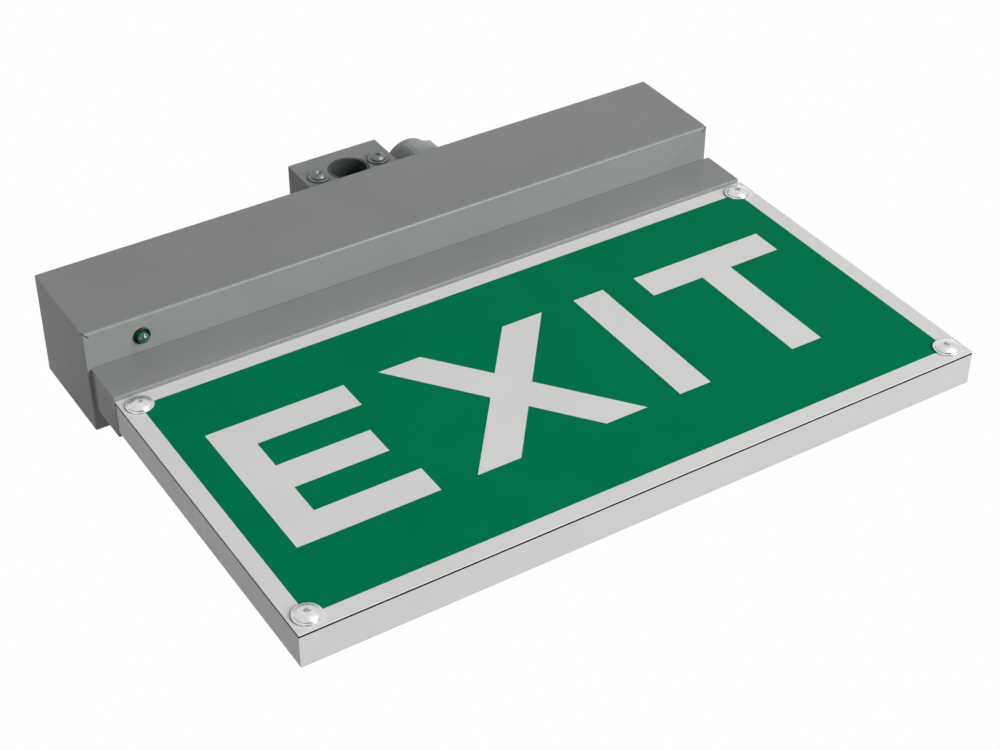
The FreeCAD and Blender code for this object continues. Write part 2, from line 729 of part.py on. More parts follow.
def panel_gasket():
    """Black rubber frame between the light box and the printed panel."""
    y_span = (GASKET_FRONT, RIM)
    frame = block(around(0, SIGN_WIDTH), y_span, (SIGN_BOTTOM, SIGN_TOP))
    holes = [pin(M5_RADIUS + HOLE_PLAY, point, INWARD, PANEL + GASKET) for point in sign_screw_points()]
    return cut_all(frame, [inner_plate(y_span, GASKET_OVERLAP)] + holes)


def sign_panel():
    """Printed front panel, held by its four corner screws."""
    panel = block(around(0, SIGN_WIDTH), (FILM, GASKET_FRONT), (SIGN_BOTTOM, SIGN_TOP))
    holes = [pin(M5_RADIUS + HOLE_PLAY, point, INWARD, PANEL) for point in sign_screw_points()]
    return cut_all(panel, holes)


def threaded_insert(outer, inner, start, axis, length):
    """A brass insert with a knurled outside, drawn with flat sides."""
    return pin(outer, start, axis, length).cut(pin(inner, start, axis, length))


def washer(outer, inner, seat, axis, thickness):
    """A flat washer that lies on its seat."""
    return many_sided(outer, seat, axis, thickness).cut(pin(inner, seat, axis, thickness))


def sign_inserts():
    """Brass inserts in the light box's corner pillars."""
    inserts = []
    for point in sign_screw_points():
        start = Vector(point.x, RIM, point.z)
        inserts.append(threaded_insert(SIGN_INSERT_RADIUS, M5_RADIUS, start, INWARD, SIGN_INSERT_LENGTH))
    return inserts


def sign_washers():
    """Wide washers under the corner screws."""
    sizes = (SIGN_WASHER_RADIUS, M5_RADIUS + HOLE_PLAY)
    return [washer(*sizes, point, OUTWARD, SIGN_WASHER) for point in sign_screw_points()]


def sign_screws():
    """Four domed screws at the corners of the printed field."""
    length = SIGN_WASHER + PANEL + GASKET + SIGN_INSERT_LENGTH - SCREW_END_GAP
    screws = []
    for point in sign_screw_points():
        seat = point + OUTWARD * SIGN_WASHER
        screws.append(pan_screw(M5_RADIUS, M5_HEAD_RADIUS, M5_HEAD_HEIGHT, length, seat, OUTWARD))
    return screws


def tray_inserts():
    """Brass inserts in the solid ends of the tongue."""
    inserts = []
    for point in tray_screw_points():
        start = Vector(point.x, TONGUE_REAR, point.z)
        inserts.append(threaded_insert(TRAY_INSERT_RADIUS, M4_RADIUS, start, OUTWARD, TRAY_INSERT_LENGTH))
    return inserts


def tray_screws():
    """Two screws through the holder's rear wall into the tongue."""
    length = SHEET + TONGUE_PLAY + TRAY_INSERT_LENGTH - SCREW_END_GAP
    sizes = (M4_RADIUS, M4_FLATS, M4_HEX_HEAD, length)
    return [hex_screw(*sizes, point, INWARD) for point in tray_screw_points()]


def hanger_bracket():
    """Angle under and behind the hanger block, folded from the same sheet."""
    x_span = around(0, BLOCK_WIDTH)
    foot = block(x_span, (BLOCK_FRONT, 0), (TOP, BLOCK_FOOT))
    upright = block(x_span, (BACK_PLATE, 0), (TOP, BLOCK_TOP))
    angle = foot.fuse(upright).removeSplitter()
    angle = rounded(angle, BEND_RADIUS, lambda box: level(box.YMin, box.YMax, 0) and box.ZMax < BLOCK_FOOT)
    angle = rounded(angle, BEND_RADIUS - SHEET, inner_foot_edge)
    cuts = [rod(BLOCK_BORE_RADIUS, Vector(0, 0, BORE_Z), OUTWARD, SHEET)]
    for point in block_screw_points():
        cuts.append(pin(BLOCK_NUT_SHANK, Vector(point.x, 0, point.z), OUTWARD, SHEET))
    cuts += [pin(M4_RADIUS, point, UP, TWO_SHEETS) for point in bracket_screw_points()]
    return cut_all(angle, cuts)


def inner_foot_edge(box):
    """Picks the inside corner between the bracket's foot and its upright."""
    return level(box.YMin, box.YMax, BACK_PLATE) and level(box.ZMin, box.ZMax, BLOCK_FOOT)


def bracket_screws():
    """Two screws from inside the housing, through the bracket's foot into the block."""
    sizes = (M4_RADIUS, M4_FLATS, M4_HEX_HEAD, TWO_SHEETS + BRACKET_SCREW_GRIP)
    return [hex_screw(*sizes, point, DOWN) for point in bracket_screw_points()]


def hanger_block():
    """Solid block on the bracket's foot, bored from front to back."""
    body = block(around(0, BLOCK_WIDTH), (BLOCK_FRONT, BACK_PLATE), (BLOCK_FOOT, BLOCK_TOP))
    body = rounded(body, BEND_RADIUS - SHEET, inner_foot_edge)
    depth = BACK_PLATE - BLOCK_FRONT
    cuts = [rod(BLOCK_BORE_RADIUS, Vector(0, BLOCK_FRONT, BORE_Z), INWARD, depth)]
    for point in block_screw_points():
        cuts.append(pin(M4_RADIUS + HOLE_PLAY, point, INWARD, depth))
        rear = Vector(point.x, BACK_PLATE, point.z)
        cuts.append(hexagon(M4_FLATS + HOLE_PLAY, rear, OUTWARD, BLOCK_NUT))
    cuts += [pin(M4_RADIUS, point, UP, TWO_SHEETS + BRACKET_SCREW_GRIP) for point in bracket_screw_points()]
    return cut_all(body, cuts)


def hanger_bush():
    """Dark sleeve that lines the block's bore."""
    outer = BLOCK_BORE_RADIUS - BUSH_PLAY
    inner = outer - BUSH_WALL
    return tube(outer, inner, Vector(0, BLOCK_FRONT, BORE_Z), INWARD, -BLOCK_FRONT)


def block_washers():
    """Washers under the two screws on the block's face."""
    sizes = (BLOCK_WASHER_RADIUS, M4_RADIUS + HOLE_PLAY)
    return [washer(*sizes, point, OUTWARD, BLOCK_WASHER) for point in block_screw_points()]


def block_screws():
    """Two long screws through the block into the bracket's press nuts."""
    length = BLOCK_WASHER - BLOCK_FRONT
    screws = []
    for point in block_screw_points():
        seat = point + OUTWARD * BLOCK_WASHER
        screws.append(pan_screw(M4_RADIUS, M4_HEAD_RADIUS, M4_HEAD_HEIGHT, length, seat, OUTWARD))
    return screws


def block_nuts():
    """Press nuts in the bracket's upright, with their hexagons in the block's pockets."""
    nuts = []
    for point in block_screw_points():
        rear = Vector(point.x, 0, point.z)
        nut = pin(BLOCK_NUT_SHANK, rear, OUTWARD, SHEET)
        nut = nut.fuse(hexagon(M4_FLATS, Vector(point.x, BACK_PLATE, point.z), OUTWARD, BLOCK_NUT))
        nuts.append(nut.cut(pin(M4_RADIUS, rear, OUTWARD, SHEET + BLOCK_NUT)).removeSplitter())
    return nuts


def gland_washer():
    """Flat rubber seal under the gland's body."""
    flat = many_sided(GLAND_WASHER_RADIUS, gland_point(0), UP, GLAND_WASHER)
    return flat.cut(many_sided(GLAND_THREAD_RADIUS, gland_point(0), UP, GLAND_WASHER))


def gland_body():
    """Gland body: a hexagon, a threaded stub through the plate and a tube for the cap."""
    hexagon_top = GLAND_WASHER + GLAND_BODY_HEX
    body = hexagon(GLAND_BODY_FLATS, gland_point(GLAND_WASHER), UP, GLAND_BODY_HEX, GLAND_BODY_TURN)
    stub_length = GLAND_WASHER + SHEET + GLAND_STUB
    body = body.fuse(many_sided(GLAND_THREAD_RADIUS, gland_point(GLAND_WASHER), DOWN, stub_length))
    body = body.fuse(many_sided(GLAND_TUBE_RADIUS, gland_point(hexagon_top), UP, GLAND_TUBE))
    bore_start = gland_point(GLAND_WASHER - stub_length)
    bore = many_sided(GLAND_BORE_RADIUS, bore_start, UP, stub_length + GLAND_BODY_HEX + GLAND_TUBE)
    return body.cut(bore).removeSplitter()


def gland_seal():
    """Rubber sleeve that grips the cable, inside the body and under the cap's end."""
    start = gland_point(GLAND_CAP_HEX_TOP - GLAND_SEAL_LENGTH)
    sleeve = many_sided(GLAND_BORE_RADIUS, start, UP, GLAND_SEAL_LENGTH)
    return sleeve.cut(rod(GLAND_SEAL_BORE, start, UP, GLAND_SEAL_LENGTH))


def gland_cap_nut():
    """Cap nut: a hexagon with a round, bevelled end and a mouth for the cable."""
    bottom = GLAND_WASHER + GLAND_BODY_HEX + GLAND_CAP_GAP
    hex_height = GLAND_CAP_HEX_TOP - bottom
    cap = hexagon(GLAND_CAP_FLATS, gland_point(bottom), UP, hex_height, GLAND_CAP_TURN)
    profile = (
        (0, bottom),
        (GLAND_CAP_RADIUS, bottom),
        (GLAND_CAP_RADIUS, GLAND_CAP_TOP - GLAND_CAP_ROUNDING),
        (GLAND_CAP_RADIUS - GLAND_CAP_ROUNDING, GLAND_CAP_TOP),
        (0, GLAND_CAP_TOP),
    )
    cap = cap.fuse(turned(profile, gland_point(0), UP))
    thread = many_sided(GLAND_TUBE_RADIUS, gland_point(bottom), UP, hex_height)
    mouth = rod(GLAND_CAP_MOUTH, gland_point(bottom), UP, GLAND_CAP_TOP - bottom)
    return cut_all(cap, [thread, mouth])


def gland_locknut():
    """Lock nut on the gland's stub, under the top plate."""
    nut = hexagon(GLAND_LOCKNUT_FLATS, gland_point(-SHEET), DOWN, GLAND_LOCKNUT)
    return nut.cut(many_sided(GLAND_THREAD_RADIUS, gland_point(-SHEET), DOWN, GLAND_LOCKNUT))


def lamp_seat():
    """Height of the lamp's flange above the housing's underside."""
    return BEZEL_MOUTH_DEPTH - BEZEL_FLANGE + LAMP_STRAIGHT


def indicator_bezel():
    """Lamp holder: a thin flange outside, a conical mouth and a barrel inside."""
    front = lamp_point(-BEZEL_FLANGE)
    bezel = many_sided(BEZEL_FLANGE_RADIUS, front, UP, BEZEL_FLANGE)
    bezel = bezel.fuse(many_sided(BEZEL_RADIUS, lamp_point(0), UP, lamp_seat()))
    bore = many_sided(LAMP_RADIUS, front, UP, BEZEL_FLANGE + lamp_seat())
    bore = bore.fuse(tapered(BEZEL_MOUTH_RADIUS, LAMP_RADIUS, front, UP, BEZEL_MOUTH_DEPTH))
    return bezel.cut(bore).removeSplitter()


def indicator_led():
    """Round lamp with a domed end that faces down in the bezel's mouth."""
    foot = lamp_point(lamp_seat() + LAMP_FLANGE)
    lamp = many_sided(LAMP_FLANGE_RADIUS, foot, DOWN, LAMP_FLANGE)
    lamp = lamp.fuse(many_sided(LAMP_RADIUS, foot, DOWN, LAMP_FLANGE + LAMP_STRAIGHT))
    for step in range(LAMP_DOME_STEPS):
        low, high = [math.radians(LAMP_DOME_ANGLE) * (step + end) / LAMP_DOME_STEPS for end in (0, 1)]
        start = lamp_point(lamp_seat() - LAMP_STRAIGHT - LAMP_RADIUS * math.sin(low))
        height = LAMP_RADIUS * (math.sin(high) - math.sin(low))
        radii = (LAMP_RADIUS * math.cos(low), LAMP_RADIUS * math.cos(high))
        lamp = lamp.fuse(tapered(*radii, start, DOWN, height))
    for offset in around(0, LAMP_LEAD_SPACING):
        spans = (around(foot.x + offset, LAMP_LEAD), around(foot.y, LAMP_LEAD))
        lamp = lamp.fuse(block(*spans, (foot.z, foot.z + LAMP_LEAD_LENGTH)))
    return lamp.removeSplitter()


def indicator_nut():
    """Nut that holds the bezel from inside the housing."""
    nut = hexagon(BEZEL_NUT_FLATS, lamp_point(SHEET), UP, BEZEL_NUT)
    return nut.cut(many_sided(BEZEL_RADIUS, lamp_point(SHEET), UP, BEZEL_NUT))


def battery_axis():
    """Distance of the battery pack's axis from the wall."""
    return BACK_PLATE - CLIP_SHEET - CELL_RADIUS


def battery_pack():
    """Three cells in line, shrunk into one sleeve."""
    length = CELL_LENGTH * CELL_COUNT
    return rod(CELL_RADIUS, Vector(BATTERY_X - length / 2, battery_axis(), 0), Vector(1, 0, 0), length)


def battery_clips():
    """Two spring clips, bent in flats round the pack and open towards the front."""
    half_side = math.pi / CLIP_SIDES
    inner = CELL_RADIUS / math.cos(half_side)
    outer = (CELL_RADIUS + CLIP_SHEET) / math.cos(half_side)
    turn = math.degrees(half_side)
    axis = Vector(1, 0, 0)
    clips = []
    for centre in clip_centres():
        x_span = around(centre, CLIP_WIDTH)
        start = Vector(x_span[0], battery_axis(), 0)
        ring = prism(outer, CLIP_SIDES, start, axis, CLIP_WIDTH, turn)
        mouth = block(x_span, (battery_axis() - outer, battery_axis()), around(0, CLIP_MOUTH))
        base = block(x_span, (BACK_PLATE - CLIP_SHEET, BACK_PLATE), around(0, INNER_HEIGHT))
        cuts = [mouth, prism(inner, CLIP_SIDES, start, axis, CLIP_WIDTH, turn)]
        for z in around(0, CLIP_SCREW_SPACING):
            cuts.append(pin(M3_RADIUS, Vector(centre, BACK_PLATE, z), OUTWARD, CLIP_SHEET))
        clips.append(cut_all(ring.fuse(base), cuts))
    return clips


def clip_screws():
    """Screws of the battery clips."""
    sizes = (M3_RADIUS, M3_FLATS, M3_HEAD, CLIP_SHEET + SHEET)
    return [hex_screw(*sizes, point, OUTWARD) for point in clip_screw_points()]


def board_rear():
    """Distance of the driver board's rear face from the wall."""
    return BACK_PLATE - STANDOFF


def board_face():
    """Distance of the driver board's front face from the wall."""
    return board_rear() - BOARD


def driver_board():
    """Circuit board that charges the pack and feeds the light source."""
    board = block(around(BOARD_X, BOARD_WIDTH), (board_face(), board_rear()), around(0, INNER_HEIGHT))
    holes = []
    for point in board_corner_points():
        holes.append(pin(M3_RADIUS, Vector(point.x, board_rear(), point.z), OUTWARD, BOARD))
    return cut_all(board, holes)


def board_standoffs():
    """Hexagonal spacers between the back plate and the driver board."""
    spacers = []
    for point in board_corner_points():
        spacer = hexagon(M3_FLATS, point, OUTWARD, STANDOFF)
        spacers.append(spacer.cut(pin(M3_RADIUS, point, OUTWARD, STANDOFF)))
    return spacers


def board_screws():
    """Screws of the driver board."""
    sizes = (M3_RADIUS, M3_FLATS, M3_HEAD, BOARD_SCREW_LENGTH)
    screws = []
    for point in board_corner_points():
        screws.append(hex_screw(*sizes, Vector(point.x, board_face(), point.z), OUTWARD))
    return screws


def transformer():
    """Core with its wound bobbin, on the driver board."""
    face = board_face()
    core = block(around(CORE_X, CORE_WIDTH), (face - CORE_DEPTH, face), around(CORE_Z, CORE_HEIGHT))
    bobbin_x = around(CORE_X, BOBBIN_WIDTH)
    bobbin = block(bobbin_x, (face - BOBBIN_DEPTH, face), around(CORE_Z, BOBBIN_WIDTH))
    bobbin = rounded(bobbin, BOBBIN_ROUNDING, along_y)
    return core.fuse(bobbin).removeSplitter()


def capacitors():
    """Two round capacitors that stand on the driver board."""
    heights = around(CORE_Z, CAPACITOR_SPACING)
    feet = [Vector(CAPACITOR_X, board_face(), z) for z in heights]
    return [many_sided(CAPACITOR_RADIUS, foot, OUTWARD, CAPACITOR_LENGTH) for foot in feet]


def relay():
    """Change-over relay in its moulded case."""
    face = board_face()
    case = block(around(RELAY_X, RELAY_WIDTH), (face - RELAY_DEPTH, face), around(CORE_Z, RELAY_HEIGHT))
    return rounded(case, RELAY_ROUNDING, lambda box: level(box.YMin, box.YMax, face - RELAY_DEPTH))


def board_headers():
    """Shrouded plug headers along the board's lower edge."""
    face = board_face()
    headers = []
    for x in HEADER_PLACES:
        shell = block(around(x, HEADER_WIDTH), (face - HEADER_DEPTH, face), (HEADER_LOW, HEADER_HIGH))
        cavity_x = around(x, HEADER_WIDTH - 2 * HEADER_WALL)
        cavity_z = (HEADER_LOW + HEADER_WALL, HEADER_HIGH - HEADER_WALL)
        headers.append(shell.cut(block(cavity_x, (face - HEADER_DEPTH, face - HEADER_WALL), cavity_z)))
    return headers


def terminal_places():
    """Centres of the poles along the terminal block."""
    first = TERMINAL_X - TERMINAL_PITCH * (TERMINAL_POLES - 1) / 2
    return [first + TERMINAL_PITCH * pole for pole in range(TERMINAL_POLES)]


def terminal_block():
    """Stepped mains terminal block with a wire funnel and a screw well at each pole."""
    x_span = around(TERMINAL_X, TERMINAL_PITCH * TERMINAL_POLES + 2 * TERMINAL_END)
    face = BACK_PLATE - TERMINAL_DEPTH
    body = block(x_span, (face, BACK_PLATE), (TERMINAL_LOW, TERMINAL_HIGH))
    cuts = [block(x_span, (face, face + TERMINAL_STEP), (TERMINAL_HIGH - TERMINAL_STEP, TERMINAL_HIGH))]
    for x in terminal_places():
        mouth_y = around(BACK_PLATE - TERMINAL_WIRE_SETBACK, TERMINAL_WIRE_WIDTH)
        mouth_z = (TERMINAL_HIGH - TERMINAL_WIRE_DEPTH, TERMINAL_HIGH)
        cuts.append(block(around(x, TERMINAL_WIRE_WIDTH), mouth_y, mouth_z))
        well = Vector(x, face, TERMINAL_WELL_Z)
        cuts.append(pin(TERMINAL_SCREW_RADIUS, well, INWARD, TERMINAL_SCREW_SINK + TERMINAL_SCREW_LENGTH))
    return cut_all(body, cuts)


def terminal_screws():
    """Clamping screws, sunk in their wells."""
    screws = []
    for x in terminal_places():
        seat = Vector(x, BACK_PLATE - TERMINAL_DEPTH + TERMINAL_SCREW_SINK, TERMINAL_WELL_Z)
        screws.append(pin(TERMINAL_SCREW_RADIUS, seat, INWARD, TERMINAL_SCREW_LENGTH))
    return screws


def earth_stud():
    """Protective earth stud, pressed into the back plate."""
    point = earth_point()
    return pin(M4_RADIUS, Vector(point.x, 0, point.z), OUTWARD, SHEET + EARTH_STUD_LENGTH)


def earth_nut():
    """Washer and nut on the earth stud, as one captive piece."""
    foot = earth_point()
    flange = many_sided(EARTH_WASHER_RADIUS, foot, OUTWARD, EARTH_WASHER)
    nut = flange.fuse(hexagon(M4_FLATS, foot + OUTWARD * EARTH_WASHER, OUTWARD, EARTH_NUT))
    return nut.cut(pin(M4_RADIUS, foot, OUTWARD, EARTH_WASHER + EARTH_NUT))


SINGLE_PIECES = (
    housing_cover,
    chassis,
    sign_holder,
    led_board,
    wire_grommet,
    sign_tray,
    reflector_sheet,
    light_guide,
    diffuser_plate,
    panel_gasket,
    sign_panel,
    hanger_bracket,
    hanger_block,
    hanger_bush,
    gland_washer,
    gland_body,
    gland_seal,
    gland_cap_nut,
    gland_locknut,
    indicator_bezel,
    indicator_led,
    indicator_nut,
    battery_pack,
    driver_board,
    transformer,
    relay,
    terminal_block,
    earth_stud,
    earth_nut,
)

LIKE_PIECES = (
    cover_screws,
    holder_screws,
    led_packages,
    led_board_screws,
    sign_inserts,
    sign_washers,
    sign_screws,
    tray_inserts,
    tray_screws,
    block_washers,
    block_screws,
    block_nuts,
    bracket_screws,
    battery_clips,
    clip_screws,
    board_standoffs,
    board_screws,
    capacitors,
    board_headers,
    terminal_screws,
)


os.makedirs("parts", exist_ok=True)
for make in SINGLE_PIECES:
    save(make.__name__, [make()])
for make in LIKE_PIECES:
    save(make.__name__, make())
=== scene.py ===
import json
import math
from contextlib import contextmanager

import bmesh
import bpy
from bpy.props import FloatProperty, FloatVectorProperty, PointerProperty
from mathutils import Matrix, Vector


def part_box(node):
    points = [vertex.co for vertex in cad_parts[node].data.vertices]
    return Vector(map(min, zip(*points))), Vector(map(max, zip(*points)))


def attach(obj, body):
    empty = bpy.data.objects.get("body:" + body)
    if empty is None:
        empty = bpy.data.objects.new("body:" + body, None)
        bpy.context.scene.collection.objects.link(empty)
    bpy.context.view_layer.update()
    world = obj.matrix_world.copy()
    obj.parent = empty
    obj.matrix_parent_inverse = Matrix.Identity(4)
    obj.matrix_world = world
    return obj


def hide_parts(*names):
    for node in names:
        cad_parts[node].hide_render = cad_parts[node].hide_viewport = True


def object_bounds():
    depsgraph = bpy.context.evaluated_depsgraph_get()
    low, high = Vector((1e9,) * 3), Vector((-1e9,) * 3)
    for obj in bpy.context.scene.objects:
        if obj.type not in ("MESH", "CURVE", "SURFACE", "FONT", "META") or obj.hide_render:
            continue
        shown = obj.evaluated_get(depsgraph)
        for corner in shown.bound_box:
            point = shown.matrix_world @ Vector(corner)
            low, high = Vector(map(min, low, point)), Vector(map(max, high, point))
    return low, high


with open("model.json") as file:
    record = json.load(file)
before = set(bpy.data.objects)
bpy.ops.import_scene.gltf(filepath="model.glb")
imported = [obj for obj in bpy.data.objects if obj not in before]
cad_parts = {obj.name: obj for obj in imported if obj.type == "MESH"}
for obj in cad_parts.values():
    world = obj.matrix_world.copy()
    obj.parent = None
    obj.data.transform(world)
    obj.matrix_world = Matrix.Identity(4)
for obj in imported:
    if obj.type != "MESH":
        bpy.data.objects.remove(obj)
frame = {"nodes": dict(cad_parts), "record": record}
frame_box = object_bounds()

bl_info = {
    "name": "Emergency exit light",
    "version": (1, 0, 0),
    "blender": (4, 5, 0),
    "location": "View3D > Sidebar > Exit light",
    "description": "Print, fasteners, fittings and finishes of an emergency exit light",
    "category": "Object",
}

MM = 0.001
OUTWARD = Vector((0, -1, 0))
UP = Vector((0, 0, 1))
EVEN = (1, 1, 1)
ROUND_STEPS = 64
ELEMENTS = {"VERT": "verts", "EDGE": "edges", "FACE": "faces"}

# Points that are closer than this are one point.
MERGE = 1e-7

# How far a cutter stands past what it cuts.
PAST = 1 * MM


def linear(hex_code):
    """Turns an sRGB hex colour into linear values."""
    channels = [int(hex_code[place:place + 2], 16) / 255 for place in (1, 3, 5)]
    return [c / 12.92 if c <= 0.04045 else ((c + 0.055) / 1.055) ** 2.4 for c in channels]


def length(name, description, millimetres):
    """A size property with its default in millimetres."""
    default = millimetres * MM
    return FloatProperty(name=name, description=description, default=default, unit="LENGTH", precision=5)


def power(name, description, watts):
    """A lamp's power property."""
    return FloatProperty(name=name, description=description, default=watts, unit="POWER")


def colour(name, description, hex_code):
    """A colour property with its default as an sRGB hex value."""
    return FloatVectorProperty(
        name=name, description=description, default=linear(hex_code), subtype="COLOR", min=0, max=1
    )


class ExitLightSizes(bpy.types.PropertyGroup):
    """Sizes of the folded sheets, the print, the screws and the small fittings."""

    sheet: length("Sheet", "Thickness of the steel sheet", 1.5)
    front_bend: length("Front bend", "Outer radius of the bend between front and underside", 1.0)
    holder_bend: length("Holder bend", "Outer radius of the sign holder's front bend", 0.5)
    end_bend: length("End bend", "Outer radius of the bends at the two ends", 0.4)
    slit_width: length("Corner slit", "Width of the slit at each front corner", 0.45)
    slit_reach: length("Corner slit reach", "Reach of the slit from the corner", 3.3)
    tab_width: length("Cover tab", "Width of a closing tab of the cover", 14.0)
    tab_depth: length("Cover tab depth", "Depth of a closing tab of the cover", 12.0)
    tab_leg: length("Cover tab leg", "Height of a closing tab's leg", 10.0)
    holder_tab: length("Holder tab", "Length of the holder's tab at each end", 12.0)
    holder_gap: length("Holder gap", "Gap between the holder's walls and the housing", 0.4)
    tongue_play: length("Tongue play", "From the light guide to the slot's edge", 2.3)
    slot_inset: length("Slot inset", "From the sign's end to the end of the slot", 3.0)
    screw_hole: length("Screw hole", "Radius of a hole for a small screw", 1.7)
    tray_hole: length("Light box screw hole", "Radius of a hole for a light box screw", 2.2)
    lamp_hole: length("Lamp hole", "Radius of the hole for the indicator lamp", 3.3)
    lead_hole: length("Lead hole", "Radius of the hole for the leads", 3.5)
    border: length("Border", "Pale border round the green field", 7.1)
    ink: length("Print", "Thickness of one printed layer", 0.03)
    word_drop: length("Word drop", "From the sign's upper edge to the top of the word", 37.0)
    word_height: length("Word height", "Height of the word's letters", 73.8)
    word_width: length("Word width", "From the word's first edge to its last", 260.0)
    stroke: length("Stroke", "Width of the letters' strokes", 14.5)
    punch: length("Punched hole", "Radius of the hole in the print for a corner screw", 2.7)
    sign_head: length("Corner screw head", "Radius of a corner screw's head", 4.7)
    sign_head_height: length("Corner screw height", "Height of a corner screw's head", 1.7)
    sign_shank: length("Corner screw shank", "Radius of a corner screw's shank", 2.5)
    sign_washer: length("Corner washer", "Radius of the washer under a corner screw", 5.6)
    block_spacing: length("Block screws", "Distance between the block's two screws", 29.5)
    block_head: length("Block screw head", "Radius of a block screw's head", 3.3)
    block_head_height: length("Block screw height", "Height of a block screw's head", 2.0)
    block_shank: length("Block screw shank", "Radius of a block screw's shank", 2.0)
    block_washer: length("Block washer", "Radius of the washer under a block screw", 4.8)
    washer_thickness: length("Washer", "Thickness of every washer", 0.8)
    cap_flats: length("Gland cap", "Width of the gland cap across its flats", 24.6)
    cap_radius: length("Gland cap end", "Radius of the gland cap's round end", 12.0)
    cap_rise: length("Gland cap rise", "Rise of the round end over the threaded cap", 0.8)
    grip_radius: length("Gland cap grip", "Radius of the gland cap's ribbed sectors", 12.9)
    cap_hexagon_drop: length("Gland cap hexagon", "From the cap's end down to its hexagon", 3.6)
    cap_mouth: length("Gland cap mouth", "Radius of the gland cap's cable hole", 6.6)
    cap_bore: length("Gland cap bore", "Radius of the gland cap's thread", 9.0)
    rib_pitch: length("Grip rib pitch", "Distance between two grip ribs of the gland cap", 0.95)
    lens_radius: length("Lamp lens", "Radius of the indicator lamp's lens", 2.5)
    bezel_radius: length("Lamp bezel", "Radius of the indicator lamp's bezel", 3.6)
    lens_drop: length("Lamp height", "From the underside down to the tip of the lens", 3.8)


class ExitLightColours(bpy.types.PropertyGroup):
    """Colours that the object's finishes start from."""

    enamel: colour("Enamel", "Grey powder coat of the sheet metal", "#7f8280")
    zinc: colour("Zinc", "Bright zinc plating of screws and washers", "#d3d5d4")
    # The next colour is the bright zinc painted darker for the block's screws: painted shade and painted
    # dark reflection, not a zinc of its own.
    shaded_zinc: colour("Dull zinc", "Passivated zinc of the block's screws", "#6e7272")
    print_pale: colour("Pale print", "Border and letters of the sign", "#d0d0cf")
    print_green: colour("Green print", "Field of the sign", "#00704a")
    box_white: colour("Light box", "White moulding behind the sign", "#b9b9b8")
    gland_grey: colour("Gland", "Grey nylon of the cable gland", "#8b8f8d")
    lamp_green: colour("Lamp", "Lens of the indicator lamp", "#007a4e")


class ExitLightStage(bpy.types.PropertyGroup):
    """Camera, lamps and floor."""

    camera_place: FloatVectorProperty(
        name="Camera", description="Place of the camera", subtype="TRANSLATION", unit="LENGTH",
        default=(-0.35807, -0.51169, -0.65172),
    )
    camera_turn: FloatVectorProperty(
        name="Camera turn", description="Rotation of the camera", subtype="EULER", unit="ROTATION",
        default=[math.radians(angle) for angle in (142.907, 32.203, -0.066)],
    )
    focal_length: FloatProperty(
        name="Focal length", description="Focal length of the camera, in millimetres",
        default=74.28, unit="CAMERA",
    )
    floor_drop: FloatProperty(
        name="Floor drop", description="Distance of the floor below the object",
        default=3.4, unit="LENGTH",
    )
    key_power: power("Key lamp", "Lamp below the front", 110.0)
    rim_power: power("Edge lamp", "Lamp that shines on the bends", 29.4)
    side_power: power("Side lamp", "Lamp off the left end", 4.5)
    fill_power: power("Fill lamp", "Lamp above the back", 8.0)
    sky: FloatProperty(
        name="Surrounding light", description="Even light from all round",
        default=0.22, min=0, subtype="FACTOR",
    )


def deselect_all():
    """Leaves no object selected, because an operator works on all that is selected."""
    bpy.ops.object.select_all(action="DESELECT")


def set_down(name):
    """Names the primitive that was just added and moves its place into its mesh."""
    piece = bpy.context.active_object
    piece.name = name
    piece.data.name = name
    bpy.ops.object.transform_apply(location=True, rotation=True, scale=True)
    return piece


def plate(name, low, high, depth):
    """A flat sheet that faces outwards, between two (x, z) corners at one depth."""
    deselect_all()
    centre = ((low[0] + high[0]) / 2, depth, (low[1] + high[1]) / 2)
    bpy.ops.mesh.primitive_plane_add(size=1, location=centre, rotation=(math.pi / 2, 0, 0))
    bpy.context.active_object.scale = (high[0] - low[0], high[1] - low[1], 1)
    return set_down(name)


def block(name, low, high):
    """A block between two corners."""
    deselect_all()
    low, high = Vector(low), Vector(high)
    bpy.ops.mesh.primitive_cube_add(size=1, location=(low + high) / 2)
    bpy.context.active_object.scale = high - low
    return set_down(name)


def round_bar(name, radius, start, axis, depth, steps=ROUND_STEPS):
    """A bar from a start point along an axis, with a number of sides."""
    deselect_all()
    bpy.ops.mesh.primitive_cylinder_add(
        vertices=steps,
        radius=radius,
        depth=depth,
        location=start + axis * depth / 2,
        rotation=axis.to_track_quat("Z", "Y").to_euler(),
    )
    return set_down(name)


def alone(piece):
    """Leaves one piece selected and active."""
    deselect_all()
    piece.select_set(True)
    bpy.context.view_layer.objects.active = piece


@contextmanager
def editing(piece):
    """Opens a piece for editing with all of it selected, and closes it again."""
    alone(piece)
    bpy.ops.object.mode_set(mode="EDIT")
    bpy.ops.mesh.select_mode(type="VERT")
    bpy.ops.mesh.select_all(action="SELECT")
    yield
    bpy.ops.object.mode_set(mode="OBJECT")


def pick(piece, kind, test):
    """Selects the points, edges or faces of the open piece that pass a test, and no others."""
    bpy.ops.mesh.select_mode(type=kind)
    bpy.ops.mesh.select_all(action="DESELECT")
    mesh = bmesh.from_edit_mesh(piece.data)
    for element in getattr(mesh, ELEMENTS[kind]):
        if test(element):
            element.select_set(True)
    bmesh.update_edit_mesh(piece.data)


def pushed(x, y, z):
    """Extrudes the faces that are selected."""
    bpy.ops.mesh.extrude_region_move(TRANSFORM_OT_translate={"value": (x, y, z)})


def applied(piece, kind, **settings):
    """Adds a modifier to a piece and applies it."""
    alone(piece)
    modifier = piece.modifiers.new(kind.title(), kind)
    for setting, value in settings.items():
        setattr(modifier, setting, value)
    bpy.ops.object.modifier_apply(modifier=modifier.name)


def combined(piece, other, operation):
    """Cuts or adds another solid, which is then gone."""
    applied(piece, "BOOLEAN", object=other, operation=operation, solver="EXACT")
    bpy.data.objects.remove(other)
    return piece


